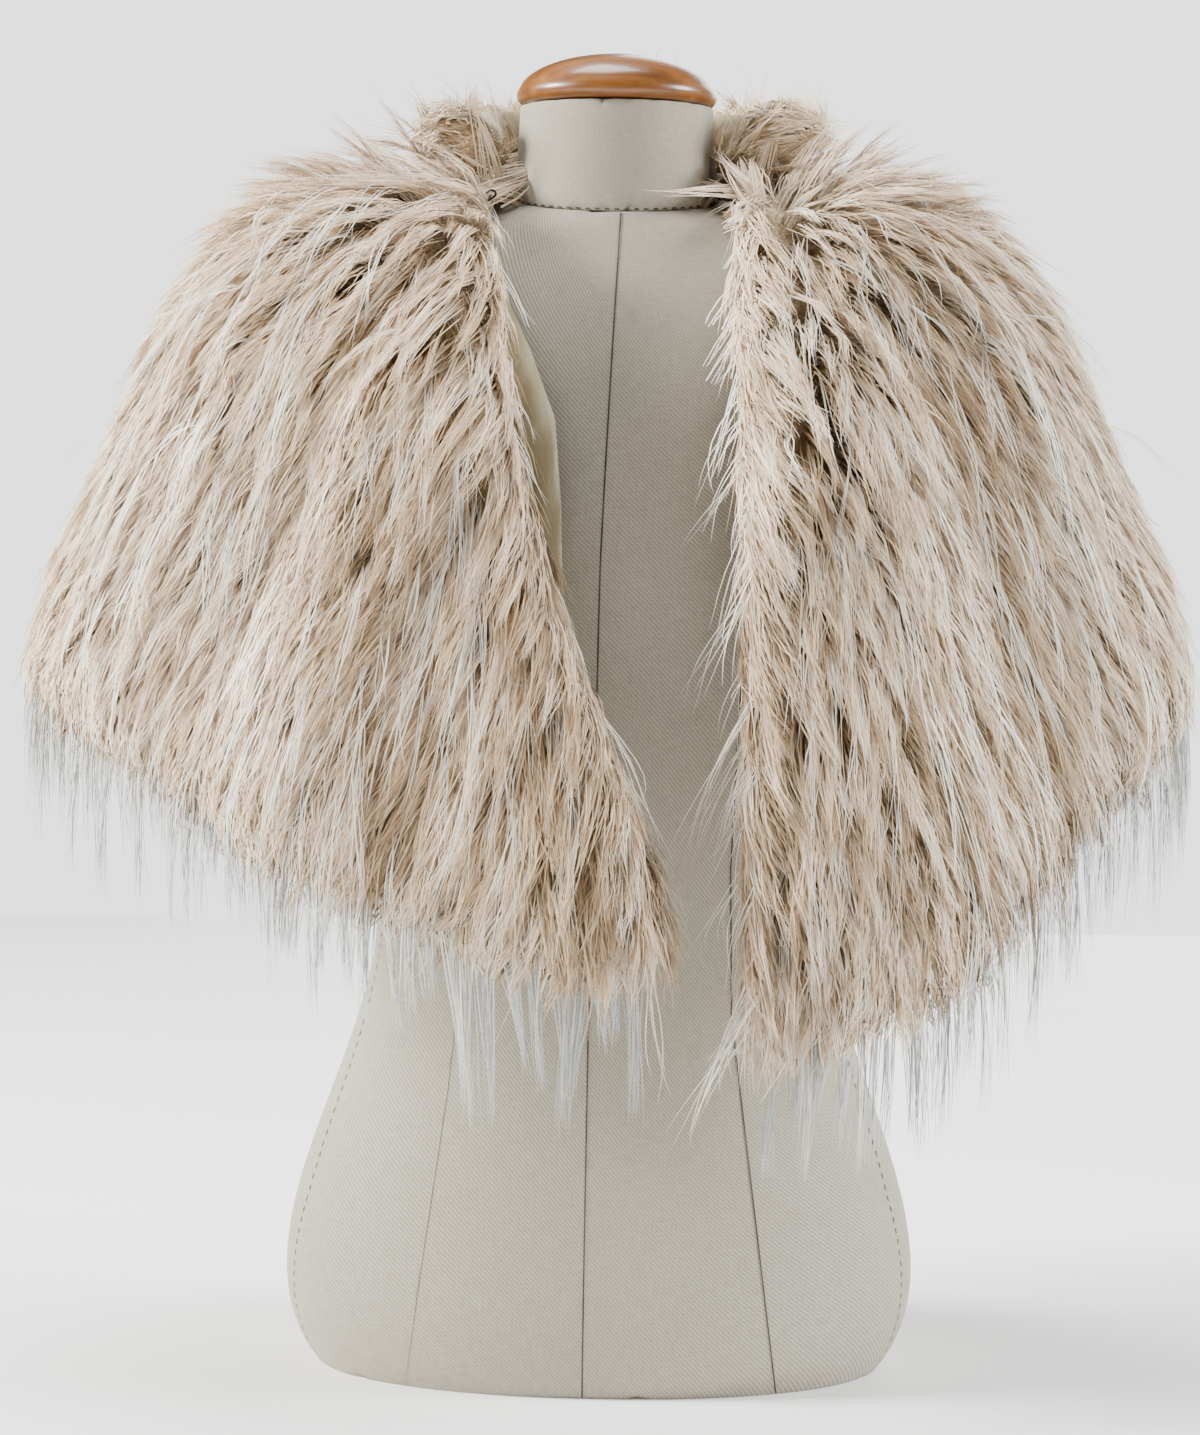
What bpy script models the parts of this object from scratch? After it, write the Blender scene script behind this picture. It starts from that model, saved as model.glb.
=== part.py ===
"""A cape-shaped fur shrug worn on a limbless dress form.

Metres, +Z up. The form stands on z = 0 with its front towards -Y, and the wearer's left is +X.
The shrug is a lined cape in three panels, two fronts and a back, with a stand collar. Each fur panel
is a wall from the backing cloth out to the tips of the dense pile, and the long guard hairs that hang
past the hem are tapered locks on a narrow strip.
"""

import functools
import math

import bmesh
import bpy
import numpy as np
from mathutils import Matrix

MM = 0.001

# Driving sizes of the dress form, in millimetres
FORM_STATIONS = 48
FORM_SQUARENESS = 2.2
NECK_SQUARENESS = 2.0
NECK_HEIGHT = 50.0
NECK_TOP = {"half_width": 53.0, "front": 50.0, "back": 51.0}
NECK_RISES = (0.0, 0.35, 0.7, 1.0)
CAP_RADIUS = 55.5
CAP_HEIGHT = 29.0
CAP_RIM = 6.0
CAP_SHOULDER = 9.6
CAP_ROUNDNESS = 1.15
CAP_SPINE_STEPS = 8
CAP_RIM_TURNS = (55, 19, -17, -53, -89)
CAP_SEGMENTS = 40
PIECE_GAP = 0.3
SHARP_ANGLE = math.radians(50)

# Driving sizes of the shrug, in millimetres
PILE = 31.0
SHOULDER_LOFT = 5.0
NECK_PILE = 9.0
EDGE_ROUNDING = 26.0
EDGE_THICKNESS = 7.0
HEM_SHARE = 0.9
HEM_THINNING = 0.25
HEM_LIFT = 0.75
LINING_THICKNESS = 1.0
SEAM_TILT = 0.12
SEAM_HEIGHT = 658.0
COLLAR_HEIGHT = 29.0
COLLAR_FLARE = 13.0
COLLAR_FULLER = 8.0
COLLAR_RADIUS = 66.0
COLLAR_TUFT = 2.5
COLLAR_TUFTS = 15
COLLAR_FOOT = 0.75
COLLAR_RISE_BY_DEPTH = 0.12
COLLAR_REACH = math.radians(71.0)
CLOTH_CLEARANCE = 3.4
MOST_LIFT = 80.0
STRIP_GAP = 1.25
STRIP_HEIGHT = 5.0
STRIP_INSET = 0.018
STRIP_DEPTH = 0.7

# Horizontal sections of the torso from the floor up: a section leans by tilt, its rise per mm of depth
TORSO_COLUMNS = ("height", "half_width", "front", "back", "tilt")
TORSO_SECTIONS = (
    (0.0, 156.0, 104.0, 112.0, 0.0),
    (12.0, 166.0, 110.0, 119.0, 0.0),
    (45.0, 177.0, 114.0, 126.0, 0.0),
    (100.0, 169.0, 109.0, 122.0, 0.0),
    (175.0, 139.0, 95.0, 98.0, 0.0),
    (225.0, 126.0, 89.0, 84.0, 0.0),
    (265.0, 122.0, 88.0, 82.0, 0.0),
    (320.0, 128.0, 98.0, 89.0, 0.0),
    (390.0, 142.0, 118.0, 99.0, 0.0),
    (455.0, 152.0, 128.0, 104.0, 0.0),
    (515.0, 162.0, 116.0, 104.0, 0.0),
    (560.0, 173.0, 96.0, 96.0, 0.0),
    (588.0, 181.0, 79.0, 86.0, 0.02),
    (602.0, 176.0, 70.0, 78.0, 0.05),
    (614.0, 150.0, 63.0, 71.0, 0.08),
    (627.0, 114.0, 57.0, 64.0, 0.13),
    (635.0, 82.0, 53.0, 58.0, 0.17),
    (640.0, 57.0, 50.0, 53.0, 0.2),
)

# Rings of the cape's inner face from the neck seam (0) to the hem (1). Each ring is an ellipse in plan
# with its own height at the sides, front and back. The two edges are where the fronts end, across X.
RING_COLUMNS = (
    "share", "half_width", "front", "back", "side_z", "right_front_z", "left_front_z", "back_z",
    "right_edge", "left_edge", "facing",
)
RINGS = (
    (0.00, 66.0, 61.0, 66.0, 658.0, 651.0, 651.0, 666.0, -61.0, 61.0, 1.0),
    (0.05, 76.0, 66.0, 78.0, 643.0, 634.0, 634.0, 650.0, -64.0, 65.0, 1.0),
    (0.11, 96.0, 75.0, 92.0, 635.0, 617.0, 617.0, 632.0, -68.0, 69.0, 1.0),
    (0.18, 124.0, 87.0, 106.0, 626.0, 594.0, 594.0, 607.0, -68.0, 71.0, 3.0),
    (0.26, 156.0, 103.0, 119.0, 615.0, 563.0, 562.0, 574.0, -66.0, 72.0, 12.0),
    (0.34, 185.0, 120.0, 131.0, 598.0, 531.0, 530.0, 540.0, -60.0, 73.0, 21.0),
    (0.43, 210.0, 135.0, 142.0, 566.0, 491.0, 487.0, 500.0, -50.0, 74.0, 20.0),
    (0.53, 232.0, 145.0, 152.0, 525.0, 443.0, 435.0, 452.0, -36.0, 75.0, 9.0),
    (0.64, 250.0, 153.0, 161.0, 486.0, 394.0, 379.0, 398.0, -17.0, 76.0, 2.0),
    (0.76, 267.0, 160.0, 169.0, 447.0, 340.0, 317.0, 340.0, 4.0, 77.0, 1.0),
    (0.88, 281.0, 167.0, 176.0, 409.0, 288.0, 256.0, 282.0, 22.0, 77.0, 1.0),
    (1.00, 293.0, 173.0, 182.0, 376.0, 240.0, 198.0, 226.0, 36.0, 76.0, 1.0),
)
# The hem rises from the middle to the sides by this power of the sine of the angle. The front opening
# lies to the wearer's left of the middle at the hem, so the panels change over at this sine.
RIGHT_ROUNDNESS = 1.6
LEFT_ROUNDNESS = 2.9
BACK_ROUNDNESS = 2.2
OPENING_SINE = 0.19
PANEL_ROWS = (0.0, 0.05, 0.11, 0.17, 0.23, 0.3, 0.38, 0.47, 0.57, 0.67, 0.77, 0.87, 1.0)
LINING_ROWS = PANEL_ROWS[:-1]
FRONT_COLUMNS = 11
EDGE_CROWDING = 1.25
BACK_COLUMNS = 17
FACING_COLUMN = -0.1
COLLAR_COLUMNS = 16
COLLAR_ROWS = 3

# Soft folds that run down the cape: angles from the front at the shoulder and at the hem, depth in mm
# (a ridge is positive), half width in degrees, and the share of the length where the fold begins
FOLD_COLUMNS = ("angle_top", "angle_hem", "depth", "spread", "start")
FOLDS = (
    (-17.0, -18.0, -9.0, 8.0, 0.20),
    (-30.0, -47.0, -13.0, 9.0, 0.15),
    (-62.0, -70.0, 6.0, 9.0, 0.30),
    (-24.0, -32.0, 6.0, 8.0, 0.25),
    (30.0, 25.0, 11.0, 9.0, 0.08),
    (46.0, 53.0, -17.0, 9.0, 0.12),
    (66.0, 72.0, 7.0, 10.0, 0.25),
    (112.0, 108.0, 6.0, 9.0, 0.35),
    (131.0, 128.0, -11.0, 9.0, 0.25),
    (152.0, 150.0, 8.0, 10.0, 0.30),
    (171.0, 173.0, -9.0, 9.0, 0.30),
    (192.0, 193.0, 7.0, 9.0, 0.25),
    (214.0, 217.0, -12.0, 10.0, 0.20),
    (240.0, 243.0, 6.0, 10.0, 0.35),
)
FOLD_RAMP = 0.35
FOLD_IN_CLOTH = 0.45
FOLD_IN_PILE = 0.55
CAPE_LENGTH = 430.0
LOCK_LENGTH = 48.0
LOCK_WIDTH = 34.0
LOCK_RELIEF = 4.6
PLAN_ROUNDNESS = 0.8
LOCK_LIFT = 0.8
LOCK_STAGGER = 2.4

# Guard hairs past the hem: locks on each strip, the shortest and longest, the size of the tip against
# the root, how far they splay from the body and sway along the hem, and the seed of each strip
LOCKS_FRONT = 46
LOCKS_BACK = 68
LOCK_SHORTEST = 38.0
LOCK_LONGEST = 96.0
LOCK_ROOT_INSET = 1.1
LOCK_TIP = 0.22
LOCK_WAVE_SHARE = 0.4
LOCK_WAVES = (0.37, 0.13)
LOCK_SPLAY = 0.1
LOCK_SWAY = 0.05
LOCK_SWAY_WAVE = 0.4
LOCK_SWAY_JITTER = 0.012
STRIP_SEEDS = {"right": 5, "left": 7, "back": 11}

# Hook and bar eye at the collar's foot
HOOK_WIRE = 1.3
HOOK_SHANK = 3.0
HOOK_BEND = 4.2
HOOK_REACH = 5.0
EYE_RADIUS = 3.4
EYE_FOOT = 5.0
BEND_TURNS = range(-90, 91, 30)
HOOK_GAP = 1.0
HOOK_ROWS = PANEL_ROWS[1:3]

# Colour, roughness and metallic value of each finish
FINISHES = {
    "linen": ((0.50, 0.48, 0.42, 1.0), 0.9, 0.0),
    "maple": ((0.35, 0.17, 0.06, 1.0), 0.3, 0.0),
    "fur": ((0.66, 0.57, 0.45, 1.0), 0.85, 0.0),
    "guard_hair": ((0.72, 0.70, 0.65, 1.0), 0.6, 0.0),
    "satin": ((0.60, 0.55, 0.45, 1.0), 0.35, 0.0),
    "black_hook": ((0.02, 0.02, 0.02, 1.0), 0.5, 0.3),
}


def clear_scene():
    for obj in list(bpy.data.objects):
        bpy.data.objects.remove(obj, do_unlink=True)


def finish_material(name):
    material = bpy.data.materials.get(name)
    if material:
        return material
    colour, roughness, metallic = FINISHES[name]
    material = bpy.data.materials.new(name)
    material.use_nodes = True
    shader = material.node_tree.nodes["Principled BSDF"]
    shader.inputs["Base Color"].default_value = colour
    shader.inputs["Roughness"].default_value = roughness
    shader.inputs["Metallic"].default_value = metallic
    material.diffuse_color = colour
    return material


def add_object(name, mesh, finish, parent, smooth=True):
    obj = bpy.data.objects.new(name, mesh)
    part_collection.objects.link(obj)
    obj.parent = parent
    mesh.materials.append(finish_material(finish))
    if smooth:
        mesh.shade_smooth()
        mesh.set_sharp_from_angle(angle=SHARP_ANGLE)


def mesh_from(bm, name):
    """Turns a bmesh in millimetres into a mesh in metres with its faces pointing out."""
    bmesh.ops.recalc_face_normals(bm, faces=bm.faces)
    if bm.calc_volume(signed=True) < 0:
        bmesh.ops.reverse_faces(bm, faces=bm.faces)
    bmesh.ops.scale(bm, vec=(MM, MM, MM), verts=bm.verts)
    mesh = bpy.data.meshes.new(name)
    bm.to_mesh(mesh)
    bm.free()
    return mesh


def smooth_between(xs, ys, x):
    """Reads a table column as a smooth curve: a cubic between each two rows."""
    slopes = np.gradient(ys, xs)
    i = int(np.clip(np.searchsorted(xs, x) - 1, 0, len(xs) - 2))
    span = xs[i + 1] - xs[i]
    t = (x - xs[i]) / span
    low, high = ys[i], ys[i + 1]
    rise_low, rise_high = slopes[i] * span, slopes[i + 1] * span
    return (
        (2 * t**3 - 3 * t**2 + 1) * low
        + (t**3 - 2 * t**2 + t) * rise_low
        + (3 * t**2 - 2 * t**3) * high
        + (t**3 - t**2) * rise_high
    )


def column_reader(columns, rows, key):
    table = np.array(rows)
    xs = table[:, columns.index(key)]

    @functools.lru_cache(maxsize=None)
    def read(x):
        return {
            name: float(smooth_between(xs, table[:, i], x)) for i, name in enumerate(columns)
        }

    return read


torso_at = column_reader(TORSO_COLUMNS, TORSO_SECTIONS, "height")
ring_at = column_reader(RING_COLUMNS, RINGS, "share")


def smoothstep(x):
    t = min(max(x, 0.0), 1.0)
    return t * t * (3 - 2 * t)


def signed_power(x, power):
    return math.copysign(abs(x) ** power, x)


def section_point(section, angle, squareness):
    """A point of a form section. The angle is 0 at the front and grows towards +X."""
    sine, cosine = math.sin(angle), math.cos(angle)
    depth = section["front"] if cosine > 0 else section["back"]
    x = section["half_width"] * signed_power(sine, 2 / squareness)
    y = -depth * signed_power(cosine, 2 / squareness)
    return x, y, section["height"] + section["tilt"] * y


def loft(name, rings, finish, parent):
    """Bridges closed rings of points, and closes both ends."""
    bm = bmesh.new()
    loops = []
    for ring in rings:
        verts = [bm.verts.new(point) for point in ring]
        edges = [bm.edges.new((a, b)) for a, b in zip(verts, verts[1:] + verts[:1])]
        loops.append(edges)
    for low, high in zip(loops, loops[1:]):
        bmesh.ops.bridge_loops(bm, edges=low + high)
    for end in (loops[0], loops[-1]):
        bmesh.ops.contextual_create(bm, geom=end)
    add_object(name, mesh_from(bm, name), finish, parent)


def ring_angles():
    return [2 * math.pi * i / FORM_STATIONS for i in range(FORM_STATIONS)]


def make_torso(parent):
    rings = []
    for row in TORSO_SECTIONS:
        section = dict(zip(TORSO_COLUMNS, row))
        rings.append([section_point(section, a, FORM_SQUARENESS) for a in ring_angles()])
    loft("form_torso", rings, "linen", parent)


def make_neck(parent):
    """The neck stands on the torso's tilted top and ends level under the cap. Returns its height."""
    foot = dict(zip(TORSO_COLUMNS, TORSO_SECTIONS[-1]))
    foot["height"] += PIECE_GAP
    top = TORSO_SECTIONS[-1][0] + NECK_HEIGHT
    rings = []
    for rise in NECK_RISES:
        section = {"height": foot["height"] + (top - foot["height"]) * rise}
        section["tilt"] = foot["tilt"] * (1 - rise)
        for size, end in NECK_TOP.items():
            section[size] = end + (foot[size] - end) * (1 - rise) ** 2
        rings.append([section_point(section, a, NECK_SQUARENESS) for a in ring_angles()])
    loft("form_neck", rings, "linen", parent)
    return top


def make_cap(parent, neck_top):
    """A turned dome with a rounded rim: half its profile, swept a full turn."""
    points = [(0.0, CAP_HEIGHT)]
    for step in range(1, CAP_SPINE_STEPS):
        slope = step / CAP_SPINE_STEPS * math.pi / 2
        crown = (CAP_HEIGHT - CAP_SHOULDER) * math.cos(slope) ** CAP_ROUNDNESS
        points.append(((CAP_RADIUS - CAP_RIM / 3) * math.sin(slope), CAP_SHOULDER + crown))
    for degrees in CAP_RIM_TURNS:
        turn = math.radians(degrees)
        across = CAP_RADIUS - CAP_RIM + CAP_RIM * math.cos(turn)
        points.append((across, CAP_RIM + CAP_RIM * math.sin(turn)))
    points.append((0.0, 0.0))
    bm = bmesh.new()
    verts = [bm.verts.new((x, 0.0, z)) for x, z in points]
    edges = [bm.edges.new(pair) for pair in zip(verts, verts[1:])]
    bmesh.ops.spin(
        bm, geom=verts + edges, cent=(0, 0, 0), axis=(0, 0, 1), angle=2 * math.pi,
        steps=CAP_SEGMENTS, use_merge=True,
    )
    bmesh.ops.remove_doubles(bm, verts=bm.verts, dist=0.001)
    bmesh.ops.translate(bm, vec=(0, 0, neck_top + PIECE_GAP), verts=bm.verts)
    add_object("neck_cap", mesh_from(bm, "neck_cap"), "maple", parent)


def inside_form(point, clearance):
    """True where a point is nearer to the torso than the clearance."""
    x, y, z = point
    top = TORSO_SECTIONS[-1][0]
    height = z - clearance
    for _ in range(3):
        section = torso_at(min(max(height, 0.0), top))
        height = z - clearance - section["tilt"] * y
    depth = section["front"] if y < 0 else section["back"]
    reach = abs(x / (section["half_width"] + clearance)) ** FORM_SQUARENESS
    reach += abs(y / (depth + clearance)) ** FORM_SQUARENESS
    return reach < 1 and height < top


def rested(point):
    """Lifts a point of the cape until it lies on the form."""
    x, y, z = point
    if not inside_form(point, CLOTH_CLEARANCE):
        return point
    low, high = z, z + MOST_LIFT
    for _ in range(12):
        middle = (low + high) / 2
        if inside_form((x, y, middle), CLOTH_CLEARANCE):
            low = middle
        else:
            high = middle
    return x, y, high


def fold_relief(angle, share):
    """How far the folds push the cape out (or in) at one place."""
    turn = math.degrees(angle)
    total = 0.0
    for row in FOLDS:
        fold = dict(zip(FOLD_COLUMNS, row))
        centre = fold["angle_top"] + (fold["angle_hem"] - fold["angle_top"]) * share
        away = (turn - centre + 180.0) % 360.0 - 180.0
        ramp = smoothstep((share - fold["start"]) / FOLD_RAMP)
        total += fold["depth"] * ramp * math.exp(-((away / fold["spread"]) ** 2))
    return total


def seam_height(y):
    return SEAM_HEIGHT + SEAM_TILT * y


@functools.lru_cache(maxsize=None)
def cape_point(angle, share):
    """A point of the backing cloth, before it has a thickness."""
    ring = ring_at(share)
    sine, cosine = math.sin(angle), math.cos(angle)
    if cosine < 0:
        depth, middle_z, power = ring["back"], ring["back_z"], BACK_ROUNDNESS
    elif sine < OPENING_SINE:
        depth, middle_z, power = ring["front"], ring["right_front_z"], RIGHT_ROUNDNESS
    else:
        depth, middle_z, power = ring["front"], ring["left_front_z"], LEFT_ROUNDNESS
    blend = abs(sine) ** power
    push = 1 + FOLD_IN_CLOTH * fold_relief(angle, share) / ring["half_width"]
    x = ring["half_width"] * sine * push
    y = -depth * cosine * push
    z = middle_z + (ring["side_z"] - middle_z) * blend
    if share < 0.02:
        return x, y, seam_height(y)
    return rested((x, y, z))


@functools.lru_cache(maxsize=None)
def outward(angle, share):
    """Unit normal of the backing cloth, pointing away from the body."""
    step = 0.02
    low, high = max(share - step, 0.001), min(share + step, 1.0)
    down = np.subtract(cape_point(angle, high), cape_point(angle, low))
    across = np.subtract(cape_point(angle + step, share), cape_point(angle - step, share))
    normal = np.cross(down, across)
    normal /= np.linalg.norm(normal)
    if share < 0.1:
        ring = np.array((normal[0], normal[1], 0.0))
        level = ring / np.linalg.norm(ring)
        normal = level + (normal - level) * smoothstep(share / 0.1)
        normal /= np.linalg.norm(normal)
    return normal


def edge_angle(side, share):
    """Where the front edge of one side lies, as an angle round the body."""
    ring = ring_at(share)
    return math.asin(max(-0.98, min(0.98, ring[side + "_edge"] / ring["half_width"])))


def lock_relief(angle, share):
    """The pile parts into overlapping locks, staggered from row to row."""
    rows = CAPE_LENGTH / LOCK_LENGTH
    row = math.floor(share * rows)
    along = share * rows - row
    ring = ring_at(min((row + 0.5) / rows, 1.0))
    locks_round = round(2 * math.pi * PLAN_ROUNDNESS * ring["half_width"] / LOCK_WIDTH)
    stagger = math.pi * (row % 2) + math.sin(row * LOCK_STAGGER)
    crest = math.cos(locks_round * angle + stagger)
    return LOCK_RELIEF * (crest * math.sin(math.pi * along) + LOCK_LIFT * (along - 0.5))


def edge_distance(angle, share):
    """Distance in mm to the nearest front edge, measured round the body."""
    ring = ring_at(share)
    turn = (angle + math.pi) % (2 * math.pi) - math.pi
    to_right = edge_angle("right", share) - turn
    to_left = turn - edge_angle("left", share)
    if abs(turn) > math.radians(95):
        return 1000.0
    return max(to_right, to_left) * ring["half_width"] * 0.75


def fur_face(angle, share, outer):
    """A point of a fur panel: its inner face (0) or the tips of the dense pile (1)."""
    base = np.array(cape_point(angle, share))
    normal = outward(angle, share)
    full = PILE + SHOULDER_LOFT * math.sin(math.pi * min(share / 0.6, 1.0))
    pile = NECK_PILE + (full - NECK_PILE) * smoothstep(share / 0.28)
    near_edge = max(0.0, 1 - edge_distance(angle, share) / EDGE_ROUNDING)
    near_hem = max(0.0, (share - HEM_SHARE) / (1 - HEM_SHARE))
    rounding = math.sqrt(max(0.0, 1 - near_edge**2))
    thickness = EDGE_THICKNESS + (pile - EDGE_THICKNESS) * rounding
    if outer:
        calm = smoothstep(share / 0.12) * smoothstep((1.0 - share) / 0.05) * rounding
        relief = FOLD_IN_PILE * fold_relief(angle, share) + lock_relief(angle, share)
        depth = thickness * (1 - HEM_THINNING * near_hem**2) + relief * calm
    else:
        depth = HEM_LIFT * (thickness - EDGE_THICKNESS) * smoothstep(near_hem)
    return base + normal * depth


def slab(columns, rows, place, cuts):
    """A wall in pattern space, columns by rows, then every point put in its place.

    The grid is extruded once, so the wall is closed, and its outer side is cut finer. Its diagonals
    are fixed first, so that a lining made on the same grid follows the wall's facets.
    """
    bm = bmesh.new()
    across, down = len(columns) - 1, len(rows) - 1
    bmesh.ops.create_grid(bm, x_segments=across, y_segments=down, size=0.5)
    bmesh.ops.translate(bm, vec=(0.5, 0.5, 0.0), verts=bm.verts)
    bmesh.ops.triangulate(bm, faces=bm.faces, quad_method="FIXED")
    made = bmesh.ops.extrude_face_region(bm, geom=list(bm.faces))
    lifted = [item for item in made["geom"] if isinstance(item, bmesh.types.BMVert)]
    bmesh.ops.translate(bm, vec=(0, 0, 1), verts=lifted)
    if cuts:
        top = [edge for edge in bm.edges if min(v.co.z for v in edge.verts) > 0.5]
        bmesh.ops.subdivide_edges(bm, edges=top, cuts=cuts, use_grid_fill=True)
    for vert in bm.verts:
        column = float(np.interp(vert.co.x * across, range(across + 1), columns))
        row = float(np.interp(vert.co.y * down, range(down + 1), rows))
        vert.co = place(column, row, vert.co.z)
    return bm


def flatten_seam(point, column, row, towards):
    """Keeps a panel's side seam in the plane y = 0, and its neck seam in the collar's plane."""
    x, y, z = point
    if column > 0.999 or (towards > 0 and column < 0.001):
        y = towards * PIECE_GAP / 2
    else:
        y = towards * max(towards * y, PIECE_GAP / 2)
    if row < 0.001:
        z = seam_height(y) - PIECE_GAP / 2
    return x, y, z


front_columns = np.linspace(0.0, 1.0, FRONT_COLUMNS + 1) ** EDGE_CROWDING
back_columns = np.linspace(0.0, 1.0, BACK_COLUMNS + 1)


def front_angle(side, column, share):
    edge = edge_angle(side, share)
    seam = -math.pi / 2 if side == "right" else math.pi / 2
    return edge + (seam - edge) * column


def hem_angle(side, column):
    return front_angle(side, column, 1.0)


def front_place(side, column, row, outer):
    angle = front_angle(side, column, row)
    return np.array(flatten_seam(fur_face(angle, row, outer), column, row, -1))


def make_fur_front(side, parent):
    name = "fur_" + side + "_front"
    bm = slab(front_columns, PANEL_ROWS, functools.partial(front_place, side), 1)
    add_object(name, mesh_from(bm, name), "fur", parent)


def back_angle(column):
    return math.pi / 2 + math.pi * column


def make_fur_back(parent):
    def place(column, row, outer):
        return flatten_seam(fur_face(back_angle(column), row, outer), column, row, 1)

    bm = slab(back_columns, PANEL_ROWS, place, 1)
    add_object("fur_back", mesh_from(bm, "fur_back"), "fur", parent)


def lining_point(angle, share, outer):
    """The lining lies on the inner face of the fur panel, made from its points."""
    inner = fur_face(angle, share, 0.0)
    depth = PIECE_GAP + (1 - outer) * LINING_THICKNESS
    return inner - outward(angle, share) * depth


def make_lining_front(side, parent):
    name = "lining_" + side + "_front"
    columns = front_columns
    if side == "right":
        columns = np.concatenate([[FACING_COLUMN], columns])

    def place(column, row, outer):
        angle = front_angle(side, max(column, 0.0), row)
        if column < 0:
            ring = ring_at(row)
            angle += ring["facing"] / (0.75 * ring["half_width"]) * column / FACING_COLUMN
        return flatten_seam(lining_point(angle, row, outer), column, row, -1)

    bm = slab(columns, LINING_ROWS, place, 0)
    add_object(name, mesh_from(bm, name), "satin", parent)


def make_lining_back(parent):
    def place(column, row, outer):
        return flatten_seam(lining_point(back_angle(column), row, outer), column, row, 1)

    bm = slab(back_columns, LINING_ROWS, place, 0)
    add_object("lining_back", mesh_from(bm, "lining_back"), "satin", parent)


def collar_point(turn, rise, depth):
    """The stand collar leans out as it rises from the neck seam. The turn runs round the nape."""
    ring = ring_at(0.0)
    sine, cosine = math.sin(turn), math.cos(turn)
    level = np.array((sine, -cosine, 0.0))
    reach = ring["front"] if cosine > 0 else ring["back"]
    base = np.array((ring["half_width"] * sine, -reach * cosine, 0.0))
    lean = COLLAR_FLARE * rise**1.5
    point = base + level * (lean + depth)
    up = (COLLAR_HEIGHT + COLLAR_RISE_BY_DEPTH * depth) * rise
    point[2] = seam_height(point[1]) + PIECE_GAP / 2 + up
    return point


def collar_turn(column):
    return COLLAR_REACH + (2 * math.pi - 2 * COLLAR_REACH) * column


def make_collar(parent):
    columns = np.linspace(0.0, 1.0, COLLAR_COLUMNS + 1)
    rows = np.linspace(0.0, 1.0, COLLAR_ROWS + 1)

    def fur_place(column, row, outer):
        turn = collar_turn(column)
        end = min(column, 1 - column) * (2 * math.pi - 2 * COLLAR_REACH) * COLLAR_RADIUS
        fuller = COLLAR_FULLER * smoothstep(1.6 * (1 - turn / math.pi))
        rounding = math.sqrt(max(0.0, 1 - max(0.0, 1 - end / EDGE_ROUNDING) ** 2))
        rounding *= math.sqrt(max(0.0, 1 - max(0.0, (row - 0.35) / 0.65) ** 2))
        tuft = COLLAR_TUFT * math.cos(turn * COLLAR_TUFTS + 3.0 * row) * 4 * row * (1 - row)
        depth = EDGE_THICKNESS + (PILE - EDGE_THICKNESS + fuller + tuft) * rounding
        depth *= COLLAR_FOOT + (1 - COLLAR_FOOT) * smoothstep(row / 0.4)
        return collar_point(turn, row, depth * outer)

    def lining_place(column, row, outer):
        depth = -PIECE_GAP - (1 - outer) * LINING_THICKNESS
        return collar_point(collar_turn(column), row, depth)

    fur = mesh_from(slab(columns, rows, fur_place, 1), "fur_collar")
    lining = mesh_from(slab(columns, rows, lining_place, 0), "lining_collar")
    add_object("fur_collar", fur, "fur", parent)
    add_object("lining_collar", lining, "satin", parent)


def halved(stops):
    """A panel's outer side has one more column between each two."""
    return np.sort(np.concatenate([stops, (stops[1:] + stops[:-1]) / 2]))


def hem_point(angle_at, columns, column, outer):
    """A point on the straight facets of a panel's lower edge, inside (0) or outside (1)."""
    stops = halved(columns) if outer else columns
    i = int(np.clip(np.searchsorted(stops, column) - 1, 0, len(stops) - 2))
    low = fur_face(angle_at(stops[i]), 1.0, outer)
    high = fur_face(angle_at(stops[i + 1]), 1.0, outer)
    return low + (high - low) * (column - stops[i]) / (stops[i + 1] - stops[i])


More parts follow.
